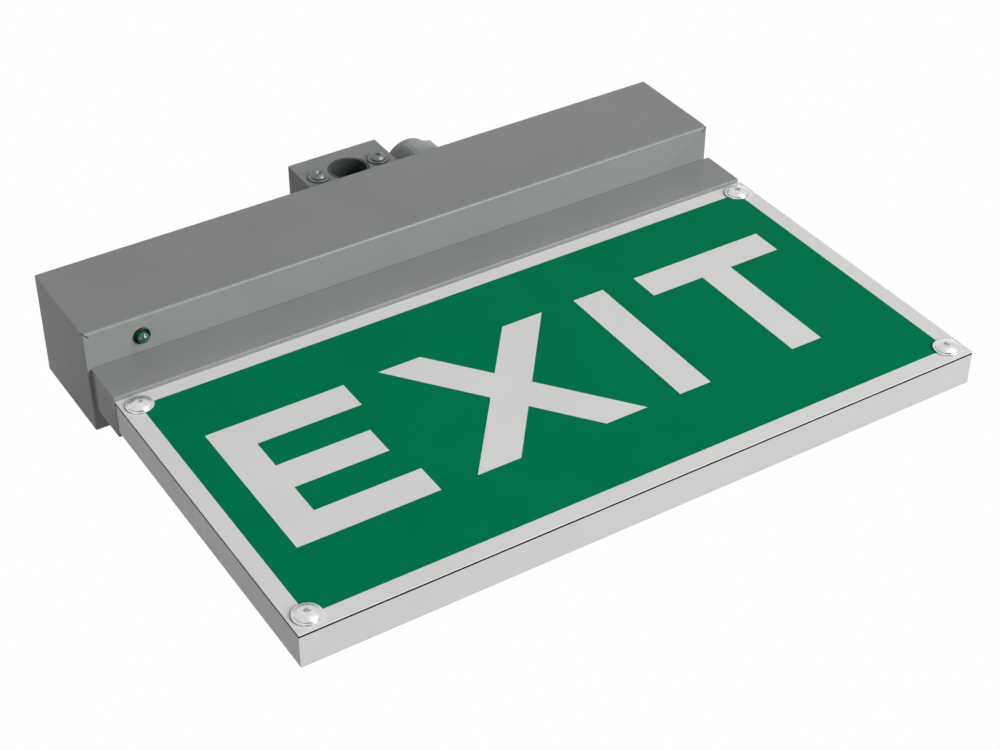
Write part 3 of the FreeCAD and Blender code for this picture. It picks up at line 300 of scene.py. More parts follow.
def joined(pieces):
    """Joins several objects into the first."""
    deselect_all()
    for piece in pieces:
        piece.select_set(True)
    bpy.context.view_layer.objects.active = pieces[0]
    bpy.ops.object.join()
    return pieces[0]


def smoothed(piece, angle=30):
    """Smooth shading that keeps the edges sharper than an angle."""
    alone(piece)
    bpy.ops.object.shade_smooth_by_angle(angle=math.radians(angle))
    return piece


def tidied(piece):
    """Takes out the faces and edges without size that a cut can leave."""
    with editing(piece):
        bpy.ops.mesh.remove_doubles(threshold=MERGE)
        bpy.ops.mesh.dissolve_degenerate(threshold=MERGE)
    return piece


def copied(piece, name, change):
    """A copy with a mesh of its own, moved by a matrix."""
    twin = bpy.data.objects.new(name, piece.data.copy())
    bpy.context.scene.collection.objects.link(twin)
    twin.data.name = name
    twin.data.transform(change)
    return twin


def rounded(piece, radius, test, steps=6):
    """Rounds the edges whose two ends pass a test."""
    with editing(piece):
        pick(piece, "EDGE", lambda edge: all(test(vertex.co) for vertex in edge.verts))
        bpy.ops.mesh.bevel(offset=radius, segments=steps, affect="EDGES")
    return piece


def solid_boxes(node):
    """Lowest and highest corners of each separate solid of a node."""
    twin = copied(frame["nodes"][node], "twin", Matrix.Identity(4))
    with editing(twin):
        bpy.ops.mesh.remove_doubles(threshold=MERGE)
        bpy.ops.mesh.separate(type="LOOSE")
    boxes = []
    for part in list(bpy.context.selected_objects):
        points = [vertex.co for vertex in part.data.vertices]
        low = Vector([min(point[axis] for point in points) for axis in range(3)])
        high = Vector([max(point[axis] for point in points) for axis in range(3)])
        boxes.append((low, high))
        bpy.data.objects.remove(part)
    return boxes


def turned(name, outline, start, axis):
    """Draws a half outline of (radius, height) points and spins it round an axis."""
    side = axis.orthogonal().normalized()
    points = [start + side * radius + axis * height for radius, height in outline]
    deselect_all()
    bpy.ops.mesh.primitive_plane_add(size=MM, location=points[0])
    piece = set_down(name)
    with editing(piece):
        bpy.ops.mesh.merge(type="CENTER")
        for last, point in zip(points, points[1:]):
            bpy.ops.mesh.extrude_vertices_move(TRANSFORM_OT_translate={"value": point - last})
        bpy.ops.mesh.select_all(action="SELECT")
        bpy.ops.mesh.spin(steps=ROUND_STEPS, angle=2 * math.pi, center=start, axis=axis)
        bpy.ops.mesh.select_all(action="SELECT")
        bpy.ops.mesh.remove_doubles(threshold=MERGE)
        bpy.ops.mesh.normals_make_consistent(inside=False)
    return piece


def arc(centre, radius, first, last, steps):
    """Points of an arc in an outline, between two angles in degrees."""
    angles = [math.radians(first + (last - first) * step / steps) for step in range(steps + 1)]
    return [(centre[0] + radius * math.cos(a), centre[1] + radius * math.sin(a)) for a in angles]


def finish_piece(piece, slot, *nodes, kind=None):
    """Gives a piece its material, its body and the nodes that it stands for.

    The finish is the slot's own, unless kind names another one.
    """
    piece.data.materials.clear()
    piece.data.materials.append(finish(kind or slot))
    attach(piece, "root")
    if nodes:
        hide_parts(*nodes)


def add(tree, kind, settings=None, inputs=None, output=None):
    """Adds a node with its settings and inputs, and gives the node or one of its outputs."""
    made = tree.nodes.new(kind)
    for setting, value in (settings or {}).items():
        setattr(made, setting, value)
    for key, value in (inputs or {}).items():
        socket = next(s for s in made.inputs if key in (s.identifier, s.name))
        if isinstance(value, bpy.types.NodeSocket):
            tree.links.new(value, socket)
        else:
            socket.default_value = value
    if output is None:
        return made
    return next(s for s in made.outputs if output in (s.identifier, s.name))


def coated(name, **constants):
    """A new material with its main shader, whose constant values are set on the shader itself."""
    material = bpy.data.materials.new(name)
    material.use_nodes = True
    tree = material.node_tree
    tree.nodes.clear()
    inputs = {key.replace("_", " ").capitalize(): value for key, value in constants.items()}
    shader = tree.nodes.new("ShaderNodeBsdfPrincipled")
    for socket in shader.inputs:
        if socket.name.capitalize() in inputs:
            socket.default_value = inputs.pop(socket.name.capitalize())
    if inputs:
        raise ValueError(f"{name}: the shader has no {sorted(inputs)}")
    add(tree, "ShaderNodeOutputMaterial", inputs={"Surface": shader.outputs["BSDF"]})
    return material, tree, shader


def spots(tree, size, stretch=EVEN, detail=2.0):
    """A soft random pattern whose spots have a size in millimetres, stretched along an axis."""
    place = add(tree, "ShaderNodeTexCoord", output="Object")
    scale = [1 / (size * MM * share) for share in stretch]
    mapped = add(tree, "ShaderNodeMapping", inputs={"Vector": place, "Scale": scale}, output="Vector")
    texture = {"Vector": mapped, "Scale": 1.0, "Detail": detail}
    return add(tree, "ShaderNodeTexNoise", inputs=texture, output="Fac")


def spread(tree, pattern, low, high):
    """Widens the middle of a random pattern to a range of values."""
    limits = {"Value": pattern, "From Min": 0.35, "From Max": 0.65, "To Min": low, "To Max": high}
    return add(tree, "ShaderNodeMapRange", inputs=limits, output="Result")


def tones(first, second, *more):
    """Two hex colours, or a colour of the panel at two shares of its brightness, as linear values."""
    if not more:
        return linear(first), linear(second)
    base = getattr(bpy.context.scene.exit_light_colours, first)
    return [[min(1.0, channel * share) for channel in base] for share in (second, *more)]


def surfaced(
    name, tint, wear, relief=None, tint_stretch=EVEN, relief_stretch=EVEN, detail=2.0, **constants
):
    """A material whose colour, roughness and relief each follow soft spots of a real size.

    Each of the three starts with the size of its spots in millimetres. After it, tint has what
    tones takes, wear has two values of roughness, and relief has its depth in millimetres.
    """
    material, tree, shader = coated(name, **constants)
    share = spread(tree, spots(tree, tint[0], tint_stretch, detail), 0.0, 1.0)
    first, second = tones(*tint[1:])
    mix = {"Factor_Float": share, "A_Color": [*first, 1], "B_Color": [*second, 1]}
    mixed = add(tree, "ShaderNodeMix", {"data_type": "RGBA"}, mix, "Result_Color")
    tree.links.new(mixed, shader.inputs["Base Color"])
    roughness = spread(tree, spots(tree, wear[0]), *wear[1:])
    tree.links.new(roughness, shader.inputs["Roughness"])
    if relief:
        height = spots(tree, relief[0], relief_stretch, detail)
        bump = {"Height": height, "Distance": relief[1] * MM, "Strength": 1.0}
        normal = add(tree, "ShaderNodeBump", inputs=bump, output="Normal")
        tree.links.new(normal, shader.inputs["Normal"])
    return material


FINISHES = {
    # Sheet steel, sprayed and baked: an even satin grey with a very fine orange peel.
    "grey_enamelled_steel": dict(
        name="satin_powder_coated_steel", tint=(45, "enamel", 0.97, 1.03), wear=(9, 0.45, 0.55),
        relief=(1.4, 0.006), specular_ior_level=0.0, coat_weight=0.35, coat_roughness=0.22,
    ),
    # Turned or pressed steel in bright zinc: a cool mirror, blurred by tool marks.
    "zinc_plated_steel": dict(
        name="bright_zinc_plated_steel", tint=(2.5, "zinc", 0.92, 1.05), wear=(1.2, 0.24, 0.36),
        relief=(0.35, 0.004), relief_stretch=(1, 1, 4), metallic=1.0,
    ),
    # Pressed steel in the bright zinc, painted darker for the block's screws: painted shade and painted
    # dark reflection on soft metal, with small bright glints only.
    "shaded_zinc": dict(
        name="passivated_zinc_plated_steel", tint=(1.5, "shaded_zinc", 0.90, 1.10),
        wear=(0.8, 0.36, 0.50), relief=(0.35, 0.004), relief_stretch=(1, 1, 4), metallic=1.0,
    ),
    # Injection-moulded ABS: white, slightly warm, with a fine satin grain from the mould.
    "white_abs": dict(
        name="moulded_white_abs", tint=(30, "box_white", 0.985, 1.015), wear=(5, 0.42, 0.52),
        relief=(0.5, 0.004), specular_ior_level=0.15,
    ),
    # Cast acrylic: clear, with a faint green tint and polished faces.
    "clear_acrylic": dict(
        name="cast_clear_acrylic", tint=(60, "#e8f4ee", "#f2faf6"), wear=(20, 0.02, 0.06),
        transmission_weight=1.0, ior=1.49,
    ),
    # Opal acrylic: milky white that scatters the light evenly.
    "opal_acrylic": dict(
        name="cast_opal_acrylic", tint=(50, "#f0f0ee", "#f6f6f4"), wear=(12, 0.30, 0.38),
        ior=1.49, subsurface_weight=0.3, subsurface_scale=2 * MM,
    ),
    # White polyester film: matt, with the faint pebble of foamed film.
    "white_film": dict(
        name="white_reflector_film", tint=(25, "#eeeeec", "#f6f6f6"), wear=(8, 0.60, 0.72),
        relief=(0.8, 0.006), specular_ior_level=0.3,
    ),
    # Acrylic sheet, screen-printed pale all over: satin, with a very slight ripple of the sheet.
    "printed_acrylic": dict(
        name="screen_printed_pale_acrylic", tint=(40, "print_pale", 0.985, 1.015),
        wear=(14, 0.34, 0.42), relief=(6, 0.004), specular_ior_level=0.05, ior=1.49,
    ),
    # Screen-printed green ink: even and satin, with the fine tooth of the mesh it went through.
    "green_print": dict(
        name="screen_printed_green_ink", tint=(35, "print_green", 0.96, 1.03),
        wear=(10, 0.36, 0.46), relief=(0.6, 0.002), specular_ior_level=0.01,
    ),
    # Screen-printed pale ink of the letters: as the border, a touch more matt.
    "pale_print": dict(
        name="screen_printed_pale_ink", tint=(35, "print_pale", 0.985, 1.01),
        wear=(10, 0.40, 0.48), relief=(0.6, 0.002), specular_ior_level=0.05,
    ),
    # Moulded rubber: deep matt black with a fine skin.
    "black_rubber": dict(
        name="moulded_black_rubber", tint=(6, "#060606", "#0c0c0c"), wear=(2, 0.70, 0.85),
        relief=(0.4, 0.01), specular_ior_level=0.03,
    ),
    # Glass-filled nylon of the bush: dark grey-green, dull, with short fibre flecks; its dark tone is
    # also painted shade deep in the block's bore.
    "dark_nylon": dict(
        name="moulded_dark_nylon", tint=(1.0, "#383d39", "#444a46"), tint_stretch=(3, 1, 1),
        wear=(2, 0.50, 0.62), relief=(0.5, 0.006), specular_ior_level=0.2,
    ),
    # Moulded polyamide of the gland: light grey, satin, slightly uneven where it cooled.
    "grey_nylon": dict(
        name="moulded_grey_nylon", tint=(8, "gland_grey", 0.95, 1.05), wear=(3, 0.36, 0.46),
        relief=(0.6, 0.005), specular_ior_level=0.35,
    ),
    # Moulded nylon of the lamp holder: black with a soft gloss.
    "black_nylon": dict(
        name="moulded_black_nylon", tint=(2, "#0c0d0c", "#181a19"), wear=(1.5, 0.26, 0.36),
        relief=(0.4, 0.003), specular_ior_level=0.25,
    ),
    # Turned brass: warm yellow metal with fine rings from the lathe.
    "brass": dict(
        name="turned_brass", tint=(2, "#c9a45a", "#dcb86e"), wear=(1, 0.22, 0.34),
        relief=(0.3, 0.004), relief_stretch=(4, 1, 4), metallic=1.0,
    ),
    # Tinted clear epoxy of the lamp: deep green glass-like dome with a bright glint.
    "green_lamp_epoxy": dict(
        name="tinted_green_epoxy", tint=(1.5, "lamp_green", 0.85, 1.15), wear=(1, 0.04, 0.10),
        ior=1.53, transmission_weight=0.55, coat_weight=0.6, coat_roughness=0.03,
    ),
    # Shrunk PVC sleeve of the battery: yellow, glossy, drawn into fine creases along the cells.
    "shrink_sleeve": dict(
        name="shrunk_yellow_pvc", tint=(20, "#d9b41c", "#e6c42e"), wear=(4, 0.22, 0.32),
        relief=(1.5, 0.03), relief_stretch=(1, 6, 6),
    ),
    # Glass-epoxy board under green solder mask, with darker copper areas beneath.
    "board_laminate": dict(
        name="green_solder_masked_laminate", tint=(4, "#0d4a2a", "#1a6a3e"), wear=(2, 0.20, 0.30),
        relief=(4, 0.03), detail=0.0,
    ),
    # Aluminium-backed board under white solder mask, for the light sources.
    "white_laminate": dict(
        name="white_solder_masked_laminate", tint=(10, "#e6e7e2", "#f0f1ee"), wear=(3, 0.24, 0.34),
    ),
    # Silicone with yellow phosphor over each light source: waxy and faintly grainy.
    "lamp_phosphor": dict(
        name="yellow_phosphor_silicone", tint=(0.4, "#e6cf5a", "#f2e07c"), wear=(0.8, 0.30, 0.42),
        subsurface_weight=0.2, subsurface_scale=0.5 * MM,
    ),
    # Ferrite core and taped winding: dark, dull and slightly granular, with the wire's pitch showing.
    "ferrite": dict(
        name="sintered_ferrite", tint=(1.2, "#1c1c1d", "#2c2c2e"), wear=(1, 0.55, 0.70),
        relief=(0.6, 0.02), relief_stretch=(6, 1, 6), specular_ior_level=0.3,
    ),
    # Printed PVC sleeve of a capacitor: dark blue and glossy.
    "capacitor_sleeve": dict(
        name="shrunk_blue_pvc", tint=(5, "#161d3c", "#202a50"), wear=(2, 0.18, 0.28),
    ),
    # Moulded relay case: blue thermoplastic with a semi-gloss skin.
    "relay_case": dict(
        name="moulded_blue_pbt", tint=(6, "#1d3460", "#25407a"), wear=(2, 0.24, 0.34),
        relief=(0.4, 0.004),
    ),
    # Moulded nylon of the plug headers: milky white and satin.
    "white_nylon": dict(
        name="moulded_white_nylon", tint=(4, "#dcdcd4", "#e8e8e2"), wear=(2, 0.40, 0.50),
        subsurface_weight=0.1, subsurface_scale=1 * MM,
    ),
    # Moulded polyamide of the terminal block: warm light grey, satin.
    "terminal_polyamide": dict(
        name="moulded_pale_polyamide", tint=(5, "#c8c8be", "#d4d4cc"), wear=(2, 0.42, 0.52),
        relief=(0.5, 0.005), specular_ior_level=0.4,
    ),
}
finish_store = {}


def finish(kind):
    """The material of a finish, made when it is first needed."""
    if kind not in finish_store:
        finish_store[kind] = surfaced(**FINISHES[kind])
    return finish_store[kind]


def corner_screw_places(sizes):
    """Centres of the four corner screws on the printed panel's face."""
    low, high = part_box("sign_panel")
    xs = (low.x + sizes.border, high.x - sizes.border)
    zs = (high.z - sizes.border, low.z + sizes.border)
    return [Vector((x, low.y, z)) for z in zs for x in xs]


def block_screw_places(sizes):
    """Centres of the two screws on the hanger block's face."""
    bush_low, bush_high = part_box("hanger_bush")
    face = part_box("hanger_block")[0].y
    middle = (bush_low + bush_high) / 2
    offsets = (-sizes.block_spacing / 2, sizes.block_spacing / 2)
    return [Vector((middle.x + offset, face, middle.z)) for offset in offsets]


# Width of the recess in a head, as a share of the head's radius.
SIGN_RECESS = 0.72
BLOCK_RECESS = 0.95

# Other shares of a head's radius and height, of a shank's radius and of the recess's width.
BLADE_SHARE = 0.19
DEPTH_SHARE = 0.3
RIM_SHARE = 0.22
TIP_SHARE = 0.2
FLOOR_SHARE = 0.45

# Small lengths of screws and washers.
SEAT_EASE = 0.15 * MM
WASHER_PLAY = 0.2 * MM


def square_recess(name, centre, width, blade, depth):
    """A tapered square, to be cut into a screw's head from its top.

    It grows from a thin post, first to both sides and then up and down over its whole width.
    """
    deselect_all()
    bpy.ops.mesh.primitive_cube_add(size=1, location=centre)
    bpy.context.active_object.scale = (blade, 2 * depth, blade)
    piece = set_down(name)
    side = Vector((1, 0, 0))
    for direction in (side, -side, UP, -UP):
        limit = centre.dot(direction) + blade / 2 - MERGE
        with editing(piece):
            pick(piece, "FACE", lambda face: face.calc_center_median().dot(direction) > limit)
            pushed(*(direction * (width - blade) / 2))
    with editing(piece):
        pick(piece, "VERT", lambda vertex: vertex.co.y > centre.y)
        bpy.ops.transform.resize(value=(FLOOR_SHARE, 1, FLOOR_SHARE), center_override=centre)
    return piece


def domed_screw(name, place, head, height, shank, shank_length, recess):
    """A screw with a square recess: shank, flat seat, thin rim and a dome."""
    rim = height * RIM_SHARE
    rise = height - rim
    bulge = (head ** 2 + rise ** 2) / (2 * rise)
    edge = math.degrees(math.acos(head / bulge))
    chamfer = shank * TIP_SHARE
    outline = [(0, -shank_length), (shank - chamfer, -shank_length), (shank, chamfer - shank_length)]
    outline += [(shank, 0), (head - SEAT_EASE, 0), (head, SEAT_EASE), (head, rim)]
    outline += arc((0, height - bulge), bulge, edge + 1.5, 90, 10)[:-1] + [(0, height)]
    screw = turned(name, outline, place, OUTWARD)
    form = (head * recess, head * BLADE_SHARE, head * DEPTH_SHARE)
    combined(screw, square_recess(name + "_recess", place + OUTWARD * height, *form), "DIFFERENCE")
    return smoothed(screw)


def flat_washer(name, place, outer, inner, thickness):
    """A pressed washer with a slightly rounded rim."""
    round_off = thickness * 0.25
    outline = [(inner, 0), (outer - round_off, 0)]
    outline += arc((outer - round_off, round_off), round_off, -90, 0, 3)[1:]
    outline += arc((outer - round_off, thickness - round_off), round_off, 0, 90, 3)
    outline += [(inner + round_off, thickness), (inner, thickness - round_off), (inner, 0)]
    return smoothed(turned(name, outline, place, OUTWARD))


def repeated(first, base, places, turns):
    """Copies of a first piece at the other places, each turned on its own axis."""
    pieces = [first]
    for number, (place, turn) in enumerate(zip(places[1:], turns), 2):
        about = Matrix.Translation(place) @ Matrix.Rotation(math.radians(turn), 4, "Y")
        change = about @ Matrix.Translation(-places[0])
        pieces.append(copied(first, f"{base}_{number}", change))
    return pieces


def fastened(base, places, end, form, washer, recess, turns, kind="zinc_plated_steel"):
    """Screws with their washers: the first of each is made, and the others are turned copies."""
    thickness = bpy.context.scene.exit_light_sizes.washer_thickness
    seats = [place + OUTWARD * thickness for place in places]
    screw = domed_screw(f"{base}_screw_1", seats[0], *form, end - seats[0].y, recess)
    for each in repeated(screw, f"{base}_screw", seats, turns):
        finish_piece(each, "zinc_plated_steel", f"{base}_screws", kind=kind)
    inner = form[-1] + WASHER_PLAY
    ring = flat_washer(f"{base}_washer_1", places[0], washer, inner, thickness)
    for each in repeated(ring, f"{base}_washer", places, (10, 20, 30)):
        finish_piece(each, "zinc_plated_steel", f"{base}_washers", kind=kind)


def folded_pan(name, low, high, sheet, bend, end_bend, open_rear):
    """A pan folded up from sheet: a floor with walls, open at the top."""
    pan = block(name, low, high)
    rounded(pan, bend, lambda spot: spot.z < low.z + MERGE and spot.y < low.y + MERGE)
    for x in (low.x, high.x):
        rounded(pan, end_bend, lambda spot: spot.z < low.z + MERGE and abs(spot.x - x) < MERGE, 3)
    inside = Vector((sheet, sheet, sheet))
    rear = sheet if open_rear else -sheet
    inner = block("inner", low + inside, (high.x - sheet, high.y + rear, high.z + sheet))
    return combined(pan, inner, "DIFFERENCE")


def drilled(piece, boxes, radius, axis):
    """Holes along an axis wherever a screw or a fitting passes through the sheet."""
    for low, high in boxes:
        middle = (low + high) / 2
        reach = abs((high - low).dot(axis)) / 2 + PAST
        hole = round_bar("hole", radius, middle - axis * reach, axis, 2 * reach, ROUND_STEPS // 2)
        combined(piece, hole, "DIFFERENCE")
    return piece


class EXITLIGHT_OT_cover(bpy.types.Operator):
    """Folds the housing's cover with its tight bends, corner slits, tabs and holes"""

    bl_idname = "exit_light.cover"
    bl_label = "Housing cover"

    def execute(self, context):
        sizes = context.scene.exit_light_sizes
        low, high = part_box("housing_cover")
        cover = folded_pan("cover_sheet", low, high, sizes.sheet, sizes.front_bend, sizes.end_bend, True)
        screws = solid_boxes("cover_screws")
        for first, last in screws:
            if last.z > 0:
                self.tab(cover, sizes, (first.x + last.x) / 2, low.y + sizes.sheet, high.z - sizes.sheet)
        for x, turn in ((low.x, 45), (high.x, 135)):
            self.slit(cover, sizes, Vector((x, low.y, low.z)), turn)
        drilled(cover, screws + solid_boxes("holder_screws"), sizes.screw_hole, UP)
        drilled(cover, solid_boxes("led_board_screws"), sizes.screw_hole, UP)
        drilled(cover, [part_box("indicator_bezel")], sizes.lamp_hole, UP)
        drilled(cover, [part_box("wire_grommet")], sizes.lead_hole, UP)
        finish_piece(smoothed(cover), "grey_enamelled_steel", "housing_cover")
        return {"FINISHED"}

    def tab(self, cover, sizes, x, wall, under):
        """One angle inside the front wall, that takes a closing screw."""
        left, right = x - sizes.tab_width / 2, x + sizes.tab_width / 2
        front = wall - sizes.sheet / 2
        shelf_high = (right, wall + sizes.tab_depth, under)
        leg_high = (right, wall + sizes.sheet, under)
        shelf = block("shelf", (left, front, under - sizes.sheet), shelf_high)
        leg = block("leg", (left, front, under - sizes.tab_leg), leg_high)
        combined(cover, combined(shelf, leg, "UNION"), "UNION")

    def slit(self, cover, sizes, corner, turn):
        """The slanting slit that parts the front bend from the end bend."""
        half = sizes.slit_width / 2
        high = (sizes.slit_reach, half, sizes.sheet + sizes.end_bend)
        slit = block("slit", (-sizes.slit_reach, -half, -PAST), high)
        slit.data.transform(Matrix.Translation(corner) @ Matrix.Rotation(math.radians(turn), 4, "Z"))
        combined(cover, slit, "DIFFERENCE")


class EXITLIGHT_OT_holder(bpy.types.Operator):
    """Folds the sign holder with its tight bends, end tabs, slot and holes"""

    bl_idname = "exit_light.holder"
    bl_label = "Sign holder"

    def execute(self, context):
        sizes = context.scene.exit_light_sizes
        low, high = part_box("sign_holder")
        sheet = sizes.sheet
        top = Vector((high.x, high.y, high.z - sizes.holder_gap))
        holder = folded_pan("holder_sheet", low, top, sheet, sizes.holder_bend, sizes.end_bend, False)
        overlap = sheet / 2
        for start in (low.x + overlap, high.x - overlap - sizes.holder_tab):
            tab_low = (start, low.y + overlap, high.z - sheet)
            tab_high = (start + sizes.holder_tab, high.y - overlap, high.z)
            combined(holder, block("tab", tab_low, tab_high), "UNION")
        sign_low, sign_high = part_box("sign_panel")
        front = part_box("light_guide")[0].y - sizes.tongue_play
        slot_low = (sign_low.x + sizes.slot_inset, front, low.z - PAST)
        slot_high = (sign_high.x - sizes.slot_inset, high.y - sheet, low.z + 2 * sheet)
        combined(holder, block("slot", slot_low, slot_high), "DIFFERENCE")
        drilled(holder, solid_boxes("holder_screws"), sizes.screw_hole, UP)
        drilled(holder, solid_boxes("tray_screws"), sizes.tray_hole, OUTWARD)
        finish_piece(smoothed(holder), "grey_enamelled_steel", "sign_holder")
        return {"FINISHED"}


class EXITLIGHT_OT_green_field(bpy.types.Operator):
    """Prints the green field inside its pale border, punched for the corner screws"""

    bl_idname = "exit_light.green_field"
    bl_label = "Green field"

    def execute(self, context):
        sizes = context.scene.exit_light_sizes
        low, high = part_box("sign_panel")
        inset = sizes.border
        corners = (low.x + inset, low.z + inset), (high.x - inset, high.z - inset)
        field = plate("green_field", *corners, low.y)
        applied(field, "SOLIDIFY", thickness=sizes.ink, offset=1.0)
        for place in corner_screw_places(sizes):
            punch = round_bar("punch", sizes.punch, place - OUTWARD * PAST, OUTWARD, 2 * PAST)
            combined(field, punch, "DIFFERENCE")
        finish_piece(tidied(field), "printed_acrylic", kind="green_print")
        return {"FINISHED"}


def level(z):
    """A level line across a letter."""
    return (0, 0, z), (0, 0, 1)


def upright(x):
    """An upright line across a letter."""
    return (x, 0, 0), (1, 0, 0)


def letter_e(low, high, stroke):
    """Lines that part the strokes of an E, and what lies inside them."""
    middle = (low.z + high.z) / 2
    levels = (low.z + stroke, middle - stroke / 2, middle + stroke / 2, high.z - stroke)
    arm = high.x - stroke / 3

    def inside(point):
        centre = abs(point.z - middle) < stroke / 2 and point.x < arm
        ends = point.z < low.z + stroke or point.z > high.z - stroke
        return point.x < low.x + stroke or ends or centre

    return [level(z) for z in levels] + [upright(x) for x in (low.x + stroke, arm)], inside


def letter_x(low, high, stroke):
    """Lines along both edges of each slanting stroke of an X, and what lies inside them."""
    wide, tall = high.x - low.x, high.z - low.z
    foot = stroke * math.hypot(wide - stroke, tall) / tall
    lines = []
    for lean, start in ((1, low.x), (-1, high.x)):
        normal = (tall, 0, -lean * (wide - foot))
        lines += [((start, 0, low.z), normal), ((start + lean * foot, 0, low.z), normal)]

    def inside(point):
        share = (point.z - low.z) / tall
        rising = low.x + foot / 2 + (wide - foot) * share
        falling = high.x - foot / 2 - (wide - foot) * share
        return min(abs(point.x - rising), abs(point.x - falling)) < foot / 2

    return lines, inside


def letter_i(low, high, stroke):
    """A single bar, that needs no lines."""
    return [], lambda point: True


def letter_t(low, high, stroke):
    """Lines that part the strokes of a T, and what lies inside them."""
    middle = (low.x + high.x) / 2
    lines = [level(high.z - stroke), upright(middle - stroke / 2), upright(middle + stroke / 2)]
    return lines, lambda point: point.z > high.z - stroke or abs(point.x - middle) < stroke / 2


# Each letter's width and strokes. The I is as wide as its stroke.
LETTERS = {
    "letter_e": (59 * MM, letter_e),
    "letter_x": (76 * MM, letter_x),
    "letter_i": (None, letter_i),
    "letter_t": (64 * MM, letter_t),
}


class EXITLIGHT_OT_letters(bpy.types.Operator):
    """Prints the plain word on the green field, letter by letter"""

    bl_idname = "exit_light.letters"
    bl_label = "Letters"

    def execute(self, context):
        sizes = context.scene.exit_light_sizes
        low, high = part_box("sign_panel")
        top = high.z - sizes.word_drop
        bottom = top - sizes.word_height
        depth = low.y - sizes.ink
        widths = [width or sizes.stroke for width, _ in LETTERS.values()]
        gap = (sizes.word_width - sum(widths)) / (len(LETTERS) - 1)
        left = (low.x + high.x - sizes.word_width) / 2
        for (name, (_, strokes)), width in zip(LETTERS.items(), widths):
            letter = plate(name, (left, bottom), (left + width, top), depth)
            corners = Vector((left, depth, bottom)), Vector((left + width, depth, top))
            lines, inside = strokes(*corners, sizes.stroke)
            with editing(letter):
                for point, normal in lines:
                    bpy.ops.mesh.select_all(action="SELECT")
                    bpy.ops.mesh.bisect(plane_co=point, plane_no=normal, use_fill=False)
                pick(letter, "FACE", lambda face: not inside(face.calc_center_median()))
                bpy.ops.mesh.delete(type="FACE")
            applied(letter, "SOLIDIFY", thickness=sizes.ink, offset=1.0)
            finish_piece(letter, "printed_acrylic", kind="pale_print")
            left += width + gap
        return {"FINISHED"}


class EXITLIGHT_OT_sign_screws(bpy.types.Operator):
    """Makes the corner screws of the sign and their wide washers"""

    bl_idname = "exit_light.sign_screws"
    bl_label = "Corner screws"

    def execute(self, context):
        sizes = context.scene.exit_light_sizes
        form = (sizes.sign_head, sizes.sign_head_height, sizes.sign_shank)
        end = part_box("sign_screws")[1].y
        places = corner_screw_places(sizes)
        fastened("sign", places, end, form, sizes.sign_washer, SIGN_RECESS, (35, -20, 62))
        return {"FINISHED"}


class EXITLIGHT_OT_block_screws(bpy.types.Operator):
    """Makes the two screws of the hanger block and their washers"""

    bl_idname = "exit_light.block_screws"
    bl_label = "Block screws"

    def execute(self, context):
        sizes = context.scene.exit_light_sizes
        form = (sizes.block_head, sizes.block_head_height, sizes.block_shank)
        places = block_screw_places(sizes)
        # The block's screws take the zinc painted darker: painted shade and painted dark reflection.
        fastened("block", places, 0.0, form, sizes.block_washer, BLOCK_RECESS, (28,), "shaded_zinc")
        return {"FINISHED"}


# Angles of the cap nut, in degrees.
CAP_TURN = -45.0
RIB_START = 108.0
RIB_SECTOR = 54.0
RIB_SECTORS = 3

# Small forms of the cap nut.
CAP_ROUNDING = 1.4 * MM
CAP_OVERLAP = 4 * MM
CAP_LIP = 0.5 * MM
CAP_EASE = 0.25 * MM
RIB_SHARE = 0.27
RIB_SIDES = 8
RIB_FOOT = 0.5 * MM
RIB_TOP = 0.3 * MM


def grip_ribs(sizes, centre, bottom, top):
    """Fine upright ribs in three sectors of the cap nut, that give the fingers hold."""
    apothem = sizes.cap_flats / 2
    step = math.degrees(sizes.rib_pitch / apothem)
    count = round(RIB_SECTOR / step)
    first = round_bar(
        "rib_1", sizes.rib_pitch * RIB_SHARE, Vector((0, 0, bottom)), UP, top - bottom, RIB_SIDES
    )
    ribs = []
    for sector in range(RIB_SECTORS):
        for number in range(count):
            angle = -(RIB_START + step * number + sector * 360 / RIB_SECTORS)
            off_centre = (angle - CAP_TURN) % 60 - 30
            reach = min(apothem / math.cos(math.radians(off_centre)), sizes.grip_radius)
            spot = Vector((math.cos(math.radians(angle)), math.sin(math.radians(angle)), 0)) * reach
            ribs.append(copied(first, f"rib_{len(ribs) + 2}", Matrix.Translation(centre + spot)))
    bpy.data.objects.remove(first)
    return joined(ribs)


